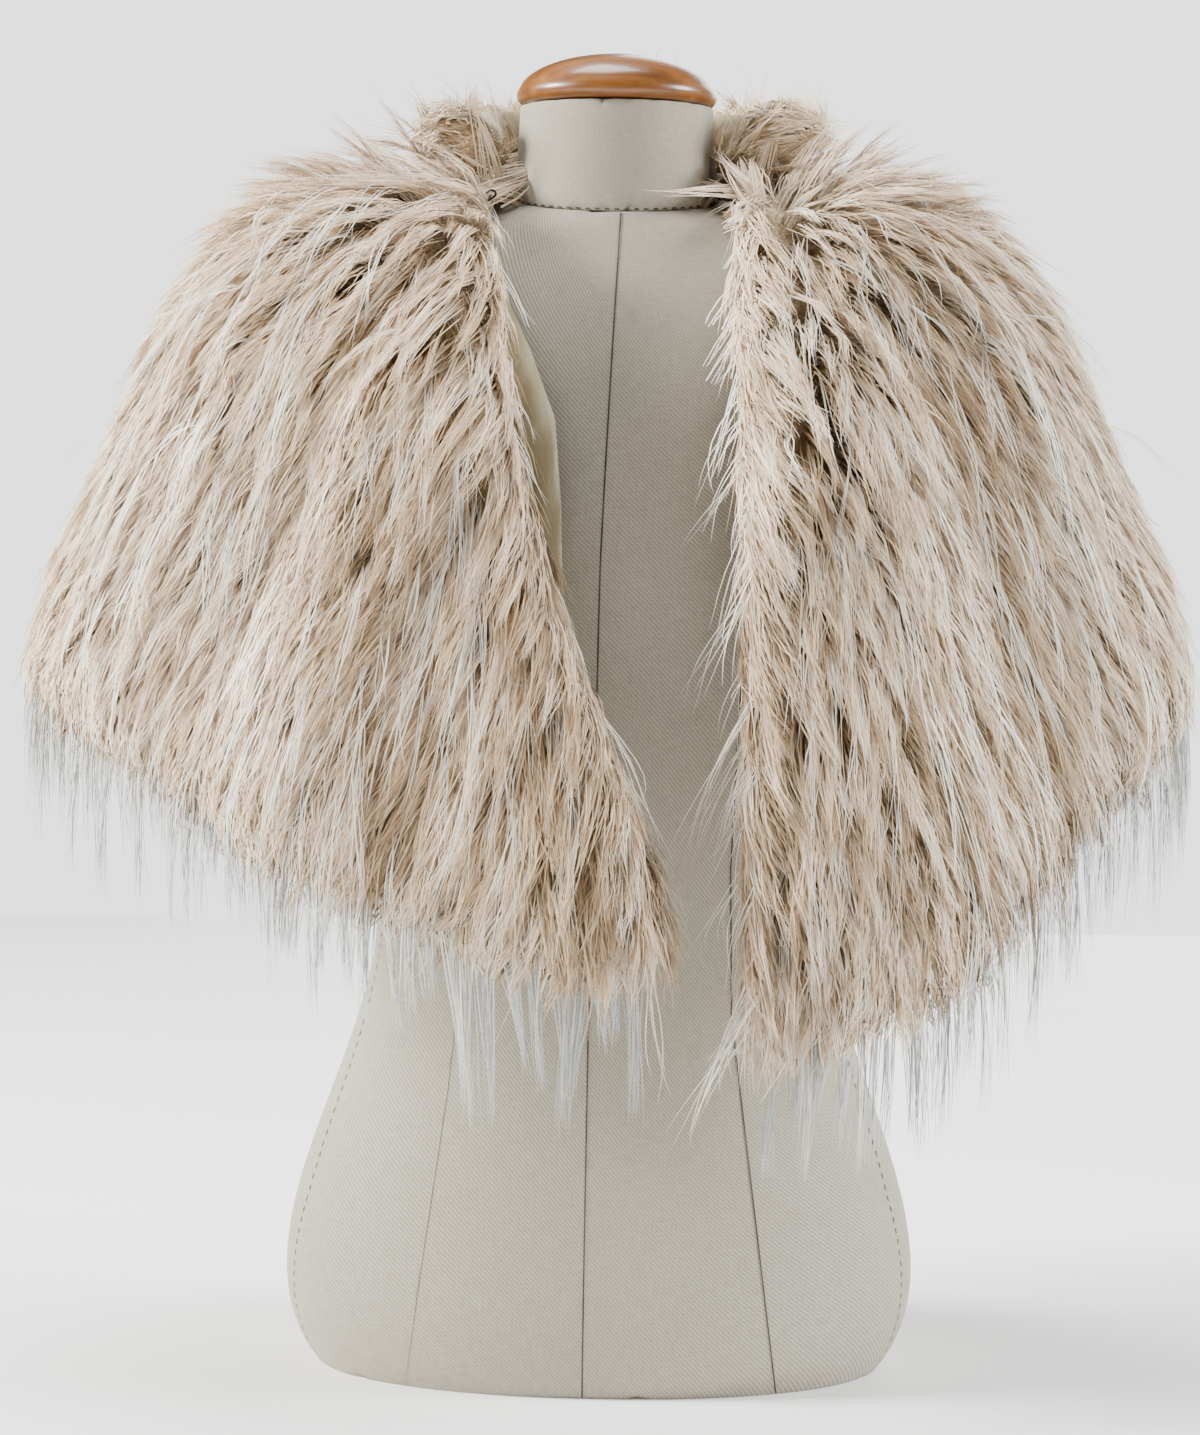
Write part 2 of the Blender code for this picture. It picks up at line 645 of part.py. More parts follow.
def make_guard_hair(panel, angle_at, columns, count, seed, parent):
    """Tapered locks of long hair hang from a narrow strip under the hem's edge.

    The strip is a row of cells. Each cell's underside is inset for the root and drawn down to a tip.
    """
    name = "guard_hair_" + panel
    random = np.random.default_rng(seed)
    bm = bmesh.new()
    bmesh.ops.create_grid(bm, x_segments=count, y_segments=1, size=0.5)
    bmesh.ops.translate(bm, vec=(0.5, 0.5, 0.0), verts=bm.verts)
    made = bmesh.ops.extrude_face_region(bm, geom=list(bm.faces))
    lifted = [item for item in made["geom"] if isinstance(item, bmesh.types.BMVert)]
    bmesh.ops.translate(bm, vec=(0, 0, 1), verts=lifted)
    under = [face for face in bm.faces if max(v.co.z for v in face.verts) < 0.5]
    under.sort(key=lambda face: face.calc_center_median().x)
    for vert in bm.verts:
        column = STRIP_INSET + (1 - 2 * STRIP_INSET) * vert.co.x
        inner = hem_point(angle_at, columns, column, 0)
        outer = hem_point(angle_at, columns, column, 1)
        place = (inner + outer) / 2 + (outer - inner) * (vert.co.y - 0.5) * STRIP_DEPTH
        place[2] -= STRIP_GAP + STRIP_HEIGHT * (1 - vert.co.z)
        vert.co = place
    bmesh.ops.recalc_face_normals(bm, faces=bm.faces)
    bmesh.ops.inset_individual(bm, faces=under, thickness=LOCK_ROOT_INSET)
    start = random.uniform(0, 2 * math.pi)
    for index, face in enumerate(under):
        tip = bmesh.ops.extrude_discrete_faces(bm, faces=[face])["faces"][0]
        centre = tip.calc_center_median()
        quick, slow = (index * pace for pace in LOCK_WAVES)
        wave = 0.5 + 0.5 * math.sin(quick + start) * math.sin(slow)
        share = LOCK_WAVE_SHARE * wave + (1 - LOCK_WAVE_SHARE) * random.uniform()
        length = LOCK_SHORTEST + (LOCK_LONGEST - LOCK_SHORTEST) * share
        bearing = math.atan2(centre.x, -centre.y)
        spread = LOCK_SPLAY * length * random.uniform(0.2, 1.0)
        sway = LOCK_SWAY * math.sin(index * LOCK_SWAY_WAVE + start)
        sway = length * (sway + LOCK_SWAY_JITTER * random.uniform(-1, 1))
        shift = (
            spread * math.sin(bearing) + sway * math.cos(bearing),
            -spread * math.cos(bearing) + sway * math.sin(bearing),
            -length,
        )
        bmesh.ops.scale(
            bm, vec=(LOCK_TIP, LOCK_TIP, LOCK_TIP), verts=tip.verts, space=Matrix.Translation(-centre)
        )
        bmesh.ops.translate(bm, vec=shift, verts=tip.verts)
    add_object(name, mesh_from(bm, name), "guard_hair", parent, smooth=False)


def make_fastener(name, side, shape, parent):
    """A wire hook or eye on the front edge at the collar's foot, black as a furrier's hook.

    The shape is a list of points: how far past the edge, how far outward, and how far down, in mm.
    """
    corners = [
        front_place(side, 0.0, share, outer) for share in HOOK_ROWS for outer in (0, 1)
    ]
    foot = sum(corners) / 4
    down = corners[2] - corners[0]
    down /= np.linalg.norm(down)
    past = np.cross(down, corners[1] - corners[0])
    past *= math.copysign(1.0, -foot[0] * past[0]) / np.linalg.norm(past)
    out = np.cross(past, down)
    out *= math.copysign(1.0, -out[1])
    curve = bpy.data.curves.new(name + "_wire", "CURVE")
    curve.dimensions = "3D"
    curve.bevel_depth = HOOK_WIRE / 2 * MM
    curve.bevel_resolution = 1
    curve.use_fill_caps = True
    spline = curve.splines.new("POLY")
    spline.points.add(len(shape) - 1)
    start = HOOK_GAP + HOOK_WIRE / 2
    for point, (beyond, lift, lower) in zip(spline.points, shape):
        place = foot + past * (beyond + start) + out * lift + down * lower
        point.co = (*(place * MM), 1.0)
    wire = bpy.data.objects.new(name + "_wire", curve)
    part_collection.objects.link(wire)
    graph = bpy.context.evaluated_depsgraph_get()
    mesh = bpy.data.meshes.new_from_object(wire.evaluated_get(graph))
    bpy.data.objects.remove(wire, do_unlink=True)
    bm = bmesh.new()
    bm.from_mesh(mesh)
    bmesh.ops.remove_doubles(bm, verts=bm.verts, dist=1e-6)
    bm.to_mesh(mesh)
    bm.free()
    mesh.materials.clear()
    add_object(name, mesh, "black_hook", parent)


def hook_shape():
    """A shank along the edge, then a bend that comes back outward."""
    low = 1.2 * HOOK_SHANK
    points = [(0.0, 0.0, -HOOK_SHANK), (0.0, 0.0, HOOK_SHANK), (2.0, 0.0, low)]
    half = HOOK_BEND / 2
    for degrees in BEND_TURNS:
        turn = math.radians(degrees)
        points.append((HOOK_REACH + half * math.cos(turn), half + half * math.sin(turn), low))
    points.append((HOOK_REACH / 2, HOOK_BEND, low))
    return points


def eye_shape():
    """An open loop whose two feet lie along the edge."""
    foot = EYE_FOOT / 2
    points = [(0.0, 0.0, -EYE_FOOT), (0.0, 0.0, -foot)]
    for degrees in BEND_TURNS:
        turn = math.radians(degrees)
        points.append((2.0 + EYE_RADIUS * math.cos(turn), 0.0, EYE_RADIUS * math.sin(turn)))
    points += [(0.0, 0.0, foot), (0.0, 0.0, EYE_FOOT)]
    return points


def build():
    root = bpy.data.objects.new("fur_shrug_on_form", None)
    part_collection.objects.link(root)
    make_torso(root)
    make_cap(root, make_neck(root))
    for side in ("right", "left"):
        make_fur_front(side, root)
        make_lining_front(side, root)
        angle_at = functools.partial(hem_angle, side)
        panel = side + "_front"
        make_guard_hair(panel, angle_at, front_columns, LOCKS_FRONT, STRIP_SEEDS[side], root)
    make_fur_back(root)
    make_lining_back(root)
    make_guard_hair("back", back_angle, back_columns, LOCKS_BACK, STRIP_SEEDS["back"], root)
    make_collar(root)
    make_fastener("neck_hook", "right", hook_shape(), root)
    make_fastener("neck_eye", "left", eye_shape(), root)


clear_scene()
part_collection = bpy.data.collections.new("fur_shrug")
bpy.context.scene.collection.children.link(part_collection)
build()
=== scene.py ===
# %% [markdown]
# A fur shrug on a dress form
# This file dresses a plain solid model of a cape-shaped fur shrug on a limbless dress form. The solids
# come in as a fixed frame, and each step below makes one piece or one finish around them.
# Everything is in metres: z points up, the front faces -y, and the wearer's left is +x.

# %% Load the frame
import math

import bmesh
import bpy
import numpy as np
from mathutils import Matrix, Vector
from mathutils.bvhtree import BVHTree


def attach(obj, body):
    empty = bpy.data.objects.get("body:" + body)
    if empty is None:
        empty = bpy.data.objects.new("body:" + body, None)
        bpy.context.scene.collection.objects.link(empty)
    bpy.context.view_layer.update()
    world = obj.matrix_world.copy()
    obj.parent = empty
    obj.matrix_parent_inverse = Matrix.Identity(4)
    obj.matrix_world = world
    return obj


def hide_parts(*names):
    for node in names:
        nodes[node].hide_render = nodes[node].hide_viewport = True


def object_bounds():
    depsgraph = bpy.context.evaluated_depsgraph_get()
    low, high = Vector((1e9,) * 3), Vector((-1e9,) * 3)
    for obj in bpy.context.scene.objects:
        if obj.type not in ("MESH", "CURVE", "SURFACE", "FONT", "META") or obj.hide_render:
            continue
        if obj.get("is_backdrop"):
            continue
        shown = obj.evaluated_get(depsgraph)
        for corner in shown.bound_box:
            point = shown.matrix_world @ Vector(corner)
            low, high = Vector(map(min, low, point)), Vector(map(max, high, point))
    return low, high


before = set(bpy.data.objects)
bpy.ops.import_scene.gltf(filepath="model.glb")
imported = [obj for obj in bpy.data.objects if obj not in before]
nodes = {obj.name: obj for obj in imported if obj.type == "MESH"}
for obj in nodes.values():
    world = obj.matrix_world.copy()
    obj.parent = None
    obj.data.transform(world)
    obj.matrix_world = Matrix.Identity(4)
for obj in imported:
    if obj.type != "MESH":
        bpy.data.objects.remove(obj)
cad_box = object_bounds()
MM = 0.001
print("frame nodes:", len(nodes), "height in mm:", round((cad_box[1][2] - cad_box[0][2]) / MM))

# %% [markdown]
# Camera and lights
# The form stands in a white studio. The camera looks at it a little from above and from the wearer's
# left, tipped by under a degree. A broad light stands at the wearer's right and a weaker one at the left,
# both nearly side on, so the middle stays in shade. Two more light the top and the back. The sky looks
# bright to the camera alone and gives little light.

# %% Camera
CAMERA_TARGET = Vector((-0.004, 0.0, 0.356))
CAMERA_DISTANCE = 2.04
CAMERA_AZIMUTH = math.radians(1.0)
CAMERA_ELEVATION = math.radians(3.0)
CAMERA_ROLL = math.radians(0.9)
CAMERA_VIEW = math.radians(22.0)


def aim(thing, place, target, roll=0.0):
    """Stands a camera or light at a place, looking at a target."""
    thing.location = place
    thing.rotation_euler = (target - place).to_track_quat("-Z", "Y").to_euler()
    thing.rotation_euler.rotate_axis("Z", roll)


def add_camera():
    """The camera that sees the form as the photograph does."""
    data = bpy.data.cameras.new("camera")
    data.sensor_fit = "VERTICAL"
    data.angle = CAMERA_VIEW
    camera = bpy.data.objects.new("camera", data)
    bpy.context.scene.collection.objects.link(camera)
    level = CAMERA_DISTANCE * math.cos(CAMERA_ELEVATION)
    place = CAMERA_TARGET + Vector(
        (
            level * math.sin(CAMERA_AZIMUTH),
            -level * math.cos(CAMERA_AZIMUTH),
            CAMERA_DISTANCE * math.sin(CAMERA_ELEVATION),
        )
    )
    aim(camera, place, CAMERA_TARGET, CAMERA_ROLL)
    bpy.context.scene.camera = camera
    return camera


print("camera at", [round(x, 2) for x in add_camera().location])

# %% Lights
# Name, place, size, power and colour of each lamp
LIGHTS = (
    ("key", (-2.9, -0.45, 1.9), 1.0, 370.0, (1.0, 0.985, 0.955)),
    ("fill", (2.9, -0.35, 1.6), 1.2, 190.0, (0.985, 0.99, 1.0)),
    ("top", (-0.3, 0.3, 2.8), 1.2, 70.0, (1.0, 1.0, 1.0)),
    ("back", (0.9, 2.6, 1.3), 1.8, 70.0, (1.0, 0.99, 0.97)),
)
WORLD_LIGHT = 0.08
WORLD_SEEN = 2.4
for name, place, size, power, colour in LIGHTS:
    data = bpy.data.lights.new("light_" + name, "AREA")
    data.size = size
    data.energy = power
    data.color = colour
    light = bpy.data.objects.new("light_" + name, data)
    bpy.context.scene.collection.objects.link(light)
    aim(light, Vector(place), Vector((0, 0, 0.4)))

world = bpy.data.worlds.new("studio")
world.use_nodes = True
sky = world.node_tree
sky.nodes["Background"].inputs["Color"].default_value = (1.0, 1.0, 1.0, 1.0)
path = sky.nodes.new("ShaderNodeLightPath")
strength = sky.nodes.new("ShaderNodeMix")
strength.inputs[2].default_value = WORLD_LIGHT
strength.inputs[3].default_value = WORLD_SEEN
sky.links.new(path.outputs["Is Camera Ray"], strength.inputs[0])
sky.links.new(strength.outputs[0], sky.nodes["Background"].inputs["Strength"])
bpy.context.scene.world = world
print("lights:", len(LIGHTS))

# %% [markdown]
# Writing a finish
# A finish is a Principled material whose colour and bump vary. One small class wraps the output of a
# node so that a pattern reads as a sum, and one method adds every other kind of node.

# %% Shader helpers
def as_colour(text):
    """Linear colour with full alpha from six hex digits."""
    parts = [int(text[i : i + 2], 16) / 255 for i in (0, 2, 4)]
    return [x / 12.92 if x <= 0.04045 else ((x + 0.055) / 1.055) ** 2.4 for x in parts] + [1.0]


class Signal:
    """The output of a shader node. Arithmetic on it adds Math nodes."""

    def __init__(self, finish, socket):
        self.finish = finish
        self.socket = socket

    def math(self, operation, *values):
        return self.finish.node("Math", {"operation": operation}, *values)

    def __add__(self, other):
        return self.math("ADD", self, other)

    def __mul__(self, other):
        return self.math("MULTIPLY", self, other)


class Finish:
    """A material in the making, named for what it stands for."""

    def __init__(self, name, **constants):
        self.material = bpy.data.materials.new(name)
        self.material.use_nodes = True
        self.shader = self.material.node_tree.nodes["Principled BSDF"]
        for key, value in constants.items():
            self.shader.inputs[key.replace("_", " ")].default_value = value

    def node(self, kind, settings=None, *places, output=0, **named):
        """Adds a node: its settings first, then the values or links of its sockets."""
        made = self.material.node_tree.nodes.new("ShaderNode" + kind)
        for key, value in (settings or {}).items():
            if key == "stops":
                self.set_stops(made.color_ramp, value)
            else:
                setattr(made, key, value)
        for index, value in enumerate(places):
            if value is not None:
                self.feed(made.inputs[index], value)
        for key, value in named.items():
            self.feed(made.inputs[key.replace("_", " ")], value)
        return Signal(self, made.outputs[output])

    def feed(self, socket, value):
        if isinstance(value, Signal):
            self.material.node_tree.links.new(value.socket, socket)
        else:
            socket.default_value = value

    def set_stops(self, ramp, stops):
        while len(ramp.elements) < len(stops):
            ramp.elements.new(0.5)
        for element, (place, colour) in zip(ramp.elements, stops):
            element.position = place
            element.color = as_colour(colour)

    def ramp(self, value, *stops):
        return self.node("ValToRGB", {"stops": stops}, value)

    def mix(self, share, first, second):
        """Colours mixed by a share from 0 to 1."""
        skipped = [None] * 5
        return self.node("Mix", {"data_type": "RGBA"}, share, *skipped, first, second, output=2)

    def noise(self, vector, scale, detail=3.0):
        return self.node("TexNoise", None, Vector=vector, Scale=scale, Detail=detail)

    def place(self):
        return self.node("TexCoord", output=3)

    def stretched(self, vector, scale):
        return self.node("Mapping", None, Vector=vector, Scale=scale)

    def bump(self, height, distance, strength=1.0):
        bump = self.node("Bump", None, Height=height, Distance=distance, Strength=strength)
        self.feed(self.shader.inputs["Normal"], bump)

    def colour(self, signal):
        self.feed(self.shader.inputs["Base Color"], signal)
        return self.material


print("shader helpers ready")

# %% [markdown]
# Linen, wood, satin and black wire
# The form is covered in fine grey-beige linen with a diagonal twill, under a varnished maple cap. The
# coat is lined with champagne satin. Each pattern reads the object's own coordinates, which stay with
# the piece when the view turns.

# %% Finish of the linen
TWILL_PITCH = 1.8 * MM
TWILL_WOBBLE = 0.6 * TWILL_PITCH
# Turn of the ribs' wave, in radians, over one pitch across or up, as they run at 45 degrees
TWILL_TURN = 4.44
LINEN_RADIUS = 0.12


def make_linen():
    finish = Finish("linen_twill", Roughness=0.88, Sheen_Weight=0.08)
    place = finish.place()
    x, y, z = (finish.node("SeparateXYZ", None, place, output=i) for i in range(3))
    round_form = finish.node("Math", {"operation": "ARCTAN2"}, x, y * -1.0) * LINEN_RADIUS
    flat = finish.node("CombineXYZ", None, round_form, 0.0, z)
    wobble = finish.noise(flat, 40.0, 2.0) * TWILL_WOBBLE
    rising = (round_form + z + wobble) * (TWILL_TURN / TWILL_PITCH)
    ribs = finish.node("Math", {"operation": "SINE"}, rising)
    slub = finish.noise(finish.stretched(flat, (90.0, 1.0, 1100.0)), 1.0)
    cross = finish.noise(finish.stretched(flat, (1100.0, 1.0, 90.0)), 1.0)
    cloud = finish.noise(place, 6.0)
    weave = ribs * 0.17 + slub * 0.35 + cross * 0.35 + 0.15
    tone = finish.ramp(cloud, (0.3, "A0998A"), (0.7, "B0AA9C"))
    threads = finish.ramp(weave, (0.2, "666052"), (0.5, "9B9483"), (0.8, "C6C0B1"))
    finish.bump(weave, 0.35 * MM, 0.6)
    return finish.colour(finish.mix(0.62, tone, threads))


# %% Finish of the maple
def make_maple():
    finish = Finish("turned_maple", Roughness=0.36, Coat_Weight=0.3, Coat_Roughness=0.12)
    place = finish.place()
    bent = finish.noise(place, 9.0)
    grain = finish.noise(finish.stretched(place, (14.0, 210.0, 210.0)), 1.0, 5.0)
    fine = finish.noise(finish.stretched(place, (50.0, 1400.0, 1400.0)), 1.0)
    bands = finish.node(
        "TexWave",
        {"wave_type": "BANDS", "bands_direction": "Y"},
        Vector=finish.stretched(place, (0.2, 1.0, 0.5)),
        Scale=14.0,
        Distortion=3.0,
        Detail=3.0,
    )
    figure = grain * 0.4 + bands * 0.12 + fine * 0.2 + bent * 0.3
    finish.bump(fine, 0.04 * MM, 0.25)
    return finish.colour(
        finish.ramp(figure, (0.3, "55300D"), (0.5, "744518"), (0.65, "8C5925"), (0.85, "A06F38"))
    )


# %% Finish of the satin
def make_satin():
    finish = Finish("champagne_satin", Roughness=0.3, Sheen_Weight=0.2, Sheen_Roughness=0.3)
    place = finish.place()
    crease = finish.noise(finish.stretched(place, (34.0, 34.0, 12.0)), 1.0, 2.0)
    threads = finish.noise(finish.stretched(place, (1400.0, 1400.0, 90.0)), 1.0)
    finish.bump(crease + threads * 0.03, 6.0 * MM, 0.8)
    # Painted light and shade: the satin is coloured darker where its creases sink and paler where they rise
    figure = crease * 0.85 + threads * 0.15
    return finish.colour(finish.ramp(figure, (0.3, "75684A"), (0.5, "9D9172"), (0.7, "C6BD9F")))


# %% Finish of the hook and eye
def make_black_hook():
    finish = Finish("blackened_wire", Roughness=0.38, Metallic=0.75)
    scuffs = finish.noise(finish.place(), 420.0)
    return finish.colour(finish.ramp(scuffs, (0.45, "141414"), (0.75, "2C2A29")))


linen, maple, satin, black_hook = make_linen(), make_maple(), make_satin(), make_black_hook()
print("plain finishes:", [m.name for m in (linen, maple, satin, black_hook)])

# %% [markdown]
# Three finishes of the fur
# Fur is a dense woolly undercoat with longer hair over it. The undercoat is a short tan nap on the
# leather. The hair is pale at its tips and tan at its roots. Each strand has a strip of the UV map
# to itself in one of a few dozen shades, so the pattern reads that map alone: across it runs the
# shade, and up it runs the way from root to tip.

# %% Finish of the undercoat
SHADES = 48
STRAND_MAP = "OFBake"


def make_undercoat():
    finish = Finish("fur_undercoat", Roughness=0.95, Sheen_Weight=0.3)
    place = finish.place()
    nap = finish.noise(finish.stretched(place, (420.0, 420.0, 130.0)), 1.0, 4.0)
    patches = finish.noise(place, 32.0)
    finish.bump(nap, 2.5 * MM, 0.8)
    return finish.colour(
        finish.ramp(nap * 0.6 + patches * 0.4, (0.3, "8E7756"), (0.55, "B09A75"), (0.8, "CAB792"))
    )


# %% Finish of the hair
def make_hair(name, roots, shades, root_end, **constants):
    """Hair from root to tip along the strand map's height, in the shades across its width."""
    finish = Finish(name, **constants)
    spot = finish.node("UVMap", {"uv_map": STRAND_MAP})
    across = finish.node("SeparateXYZ", None, spot, output=0)
    along = finish.node("SeparateXYZ", None, spot, output=1)
    cell = finish.node("Math", {"operation": "FLOOR"}, across * SHADES) * (1 / SHADES)
    tips = finish.ramp(cell, *shades)
    rising = finish.node("MapRange", {"interpolation_type": "SMOOTHSTEP"}, along, 0.0, root_end)
    return finish.colour(finish.mix(rising, as_colour(roots), tips))


# Warm shades from dark to light fill the left half of the map, and cool ones the right half.
fur_shades = (
    (0.0, "8C785B"),
    (0.16, "BA9B73"),
    (0.33, "E5C9A3"),
    (0.49, "FBEAD2"),
    (0.5, "7F6C54"),
    (0.66, "AC8D6B"),
    (0.83, "DDC4A5"),
    (0.99, "F9ECDA"),
)
guard_shades = ((0.0, "ACAFB0"), (0.3, "CBCBC7"), (0.55, "EEE3CF"), (1.0, "FFF8EA"))
undercoat = make_undercoat()
fur = make_hair("long_fur", "A08A69", fur_shades, 0.65, Roughness=0.6, Sheen_Weight=0.2)
guard_hair = make_hair("white_guard_hair", "A89C8A", guard_shades, 0.3, Roughness=0.4)
print("fur finishes:", [m.name for m in (undercoat, fur, guard_hair)])

# %% [markdown]
# The dress form
# The torso and neck are padded and covered in linen, and a turned wooden cap closes the neck. The solids
# already have these shapes in flat facets. A copy with its points joined and one subdivision gives
# the same form with a smooth surface, which then stands for the solid.

# %% Smooth pieces made from solids
def merged(node):
    """A bmesh of a solid with its loose triangles joined."""
    bm = bmesh.new()
    bm.from_mesh(nodes[node].data)
    bmesh.ops.remove_doubles(bm, verts=bm.verts, dist=0.02 * MM)
    return bm


def add_piece(bm, name, material, smooth=True):
    """A finished piece from a bmesh, on the form."""
    mesh = bpy.data.meshes.new(name)
    bm.to_mesh(mesh)
    bm.free()
    return place_mesh(mesh, name, material, smooth)


def place_mesh(mesh, name, material, smooth=True):
    mesh.materials.append(material)
    mesh.polygons.foreach_set("use_smooth", [smooth] * len(mesh.polygons))
    piece = bpy.data.objects.new(name, mesh)
    bpy.context.scene.collection.objects.link(piece)
    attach(piece, "root")
    return piece


def square_up(bm):
    """Joins triangles in pairs, so that a subdivision follows the rings of the solid."""
    bmesh.ops.join_triangles(
        bm, faces=bm.faces, angle_face_threshold=math.radians(40), angle_shape_threshold=math.radians(50)
    )


def crease_rims(bm, sharp):
    """Keeps the edges that turn by more than an angle, in degrees."""
    layer = bm.edges.layers.float.new("crease_edge")
    for edge in bm.edges:
        if edge.calc_face_angle(0.0) > math.radians(sharp):
            edge[layer] = 0.9


def add_smooth_copy(node, name, material, levels=2, sharp=50):
    bm = merged(node)
    square_up(bm)
    crease_rims(bm, sharp)
    piece = add_piece(bm, name, material)
    step = piece.modifiers.new("smooth", "SUBSURF")
    step.levels = step.render_levels = levels
    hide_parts(node)
    return piece


torso = add_smooth_copy("form_torso", "linen_torso", linen)
neck = add_smooth_copy("form_neck", "linen_neck", linen)
cap = add_smooth_copy("neck_cap", "maple_cap", maple, 1)
for name in ("neck_hook", "neck_eye"):
    nodes[name].data.materials.clear()
    nodes[name].data.materials.append(black_hook)
print("form:", [p.name for p in (torso, neck, cap)])

# %% [markdown]
# Seams of the linen
# The cover is cut in panels, so a seam runs down the centre, one over each breast and one down each
# side, and another joins the neck. A seam is drawn as a fine dark line of painted shade where the
# cloth turns in. The seam over the right breast, where light falls, is drawn as a pale line of painted
# light. The side and neck seams are sewn by hand, so theirs is broken into stitches of dark thread.
# Each line is laid on the smooth form by looking straight at it and noting where the line of sight
# lands.

# %% Seam lines
SEAM_WIDTH = 0.9 * MM
SEAM_LIFT = 0.4 * MM
STITCH = 6.0 * MM
NECK_TOUCH = 1.5 * MM
NECK_SEAM_RISE = 0.8 * MM
# Height and place across of the points of each seam. Front and back ones are seen along y, and side
# ones along x.
SEAMS = {
    "centre": ((0.0, -0.006), (0.19, -0.006), (0.44, -0.003), (0.634, 0.004)),
    "right_breast": ((0.0, -0.102), (0.16, -0.081), (0.3, -0.068), (0.45, -0.07), (0.56, -0.09)),
    "left_breast": ((0.0, 0.097), (0.2, 0.07), (0.28, 0.068), (0.4, 0.072), (0.56, 0.09)),
}
# The seam where light falls, drawn pale with painted light
PALE_SEAM = "right_breast"
SIDE_SEAM = ((0.0, -0.035), (0.1, -0.04), (0.3, -0.02), (0.55, -0.005))


def seam_points(line, tree, sight, step):
    """Points at even steps of height where sight lines meet the form, with the normals there."""
    heights, places = zip(*line)
    found = []
    across = Vector((0, 1, 0)) if sight.x else Vector((1, 0, 0))
    for height in np.arange(heights[0] + MM, heights[-1], step):
        start = across * float(np.interp(height, heights, places)) - sight * 0.5
        hit, normal, _, _ = tree.ray_cast(start + Vector((0, 0, float(height))), sight)
        if hit is not None:
            found.append((hit, normal))
    return found


def add_ribbon(bm, points, width, lift):
    """A flat ribbon along points on a surface."""
    rows = []
    for index, (point, normal) in enumerate(points):
        before = points[max(index - 1, 0)][0]
        after = points[min(index + 1, len(points) - 1)][0]
        side = (after - before).cross(normal).normalized() * width / 2
        rows.append([bm.verts.new(point + normal * lift + side * s) for s in (1, -1)])
    for low, high in zip(rows, rows[1:]):
        bm.faces.new((low[0], low[1], high[1], high[0]))


def neck_ring(tree, step):
    """Points round the foot of the neck, where it meets the torso."""
    bm = merged("form_neck")
    ring = [v.co.copy() for v in bm.verts if tree.find_nearest(v.co)[3] < NECK_TOUCH]
    bm.free()
    ring.sort(key=lambda point: math.atan2(point.y, point.x))
    turns = [math.atan2(point.y, point.x) for point in ring]
    count = int(2 * math.pi * ring[0].xy.length / step)
    found = []
    for turn in np.linspace(turns[0], turns[-1], count):
        place = [float(np.interp(turn, turns, [p[axis] for p in ring])) for axis in range(3)]
        out = Vector((place[0], place[1], 0.0)).normalized()
        found.append((Vector(place) + Vector((0, 0, NECK_SEAM_RISE)), out))
    return found


torso_tree = BVHTree.FromObject(torso, bpy.context.evaluated_depsgraph_get())
seam_bm, pale_bm = bmesh.new(), bmesh.new()
for name, line in SEAMS.items():
    for facing in (1, -1):
        points = seam_points(line, torso_tree, Vector((0, facing, 0)), 2 * STITCH / 3)
        add_ribbon(pale_bm if name == PALE_SEAM else seam_bm, points, SEAM_WIDTH, SEAM_LIFT)
stitched = [neck_ring(torso_tree, STITCH / 2)]
stitched += [seam_points(SIDE_SEAM, torso_tree, Vector((s, 0, 0)), STITCH / 2) for s in (1, -1)]
for points in stitched:
    for start in range(0, len(points) - 1, 2):
        add_ribbon(seam_bm, points[start : start + 2], SEAM_WIDTH, SEAM_LIFT)


def make_seam(name, low, high):
    finish = Finish(name, Roughness=0.95)
    return finish.colour(finish.ramp(finish.noise(finish.place(), 60.0), (0.3, low), (0.7, high)))


# Painted shade: the seam lines are dark where the cloth turns in, and the stitches share that colour as dark
# thread
add_piece(seam_bm, "linen_seams", make_seam("seam_shade_and_thread", "35322B", "5A564B"), smooth=False)
# Painted light: the lit seam over the right breast is drawn pale
add_piece(pale_bm, "pale_seam", make_seam("seam_in_light", "8F8878", "B8B2A2"), smooth=False)
print("seams:", 2 * len(SEAMS) + len(stitched))

# %% [markdown]
# Reading the shape of the fur
# The solids give the fur's outer face, where the dense pile ends, and its inner face on the leather.
# A search tree of each side tells how deep the pile is anywhere, and the pull of the weight along the
# surface tells which way the hair lies.

# %% The two sides of a fur solid
class Side:
    """The triangles on one side of a fur solid, with smooth normals at their corners."""

    def __init__(self, bm, faces):
        bm.verts.index_update()
        self.corners = np.array([[v.index for v in face.verts] for face in faces])
        self.points = np.array([v.co for v in bm.verts])
        self.normals = np.array([v.normal for v in bm.verts])
        a, b, c = (self.points[self.corners[:, i]] for i in range(3))
        self.areas = np.linalg.norm(np.cross(b - a, c - a), axis=1) / 2
        self.tree = BVHTree.FromPolygons(self.points.tolist(), self.corners.tolist())

    def scatter(self, count, random):
        """Points spread evenly over the side, with their normals."""
        chosen = random.choice(len(self.areas), count, p=self.areas / self.areas.sum())
        weights = random.dirichlet((1.0, 1.0, 1.0), count)[:, :, None]
        points = (self.points[self.corners[chosen]] * weights).sum(axis=1)
        normals = (self.normals[self.corners[chosen]] * weights).sum(axis=1)
        return points, unit(normals)

    def nearest(self, points):
        """The nearest point of the side to each point, with the face normal there."""
        found = [self.tree.find_nearest(point) for point in points.tolist()]
        return np.array([f[0] for f in found]), np.array([f[1] for f in found])


def unit(vectors):
    return vectors / np.maximum(np.linalg.norm(vectors, axis=-1, keepdims=True), 1e-12)


def along(surface_normals, directions):
    """Directions laid flat on the surface, with length 1."""
    lift = (directions * surface_normals).sum(axis=-1, keepdims=True)
    return unit(directions - surface_normals * lift)


# A line up the middle of the body ends at this height. Faces that look away from it are outer ones.
CORE_TOP = 0.45
CORE_DEPTH = 0.01
LEAST_TURN = -0.05


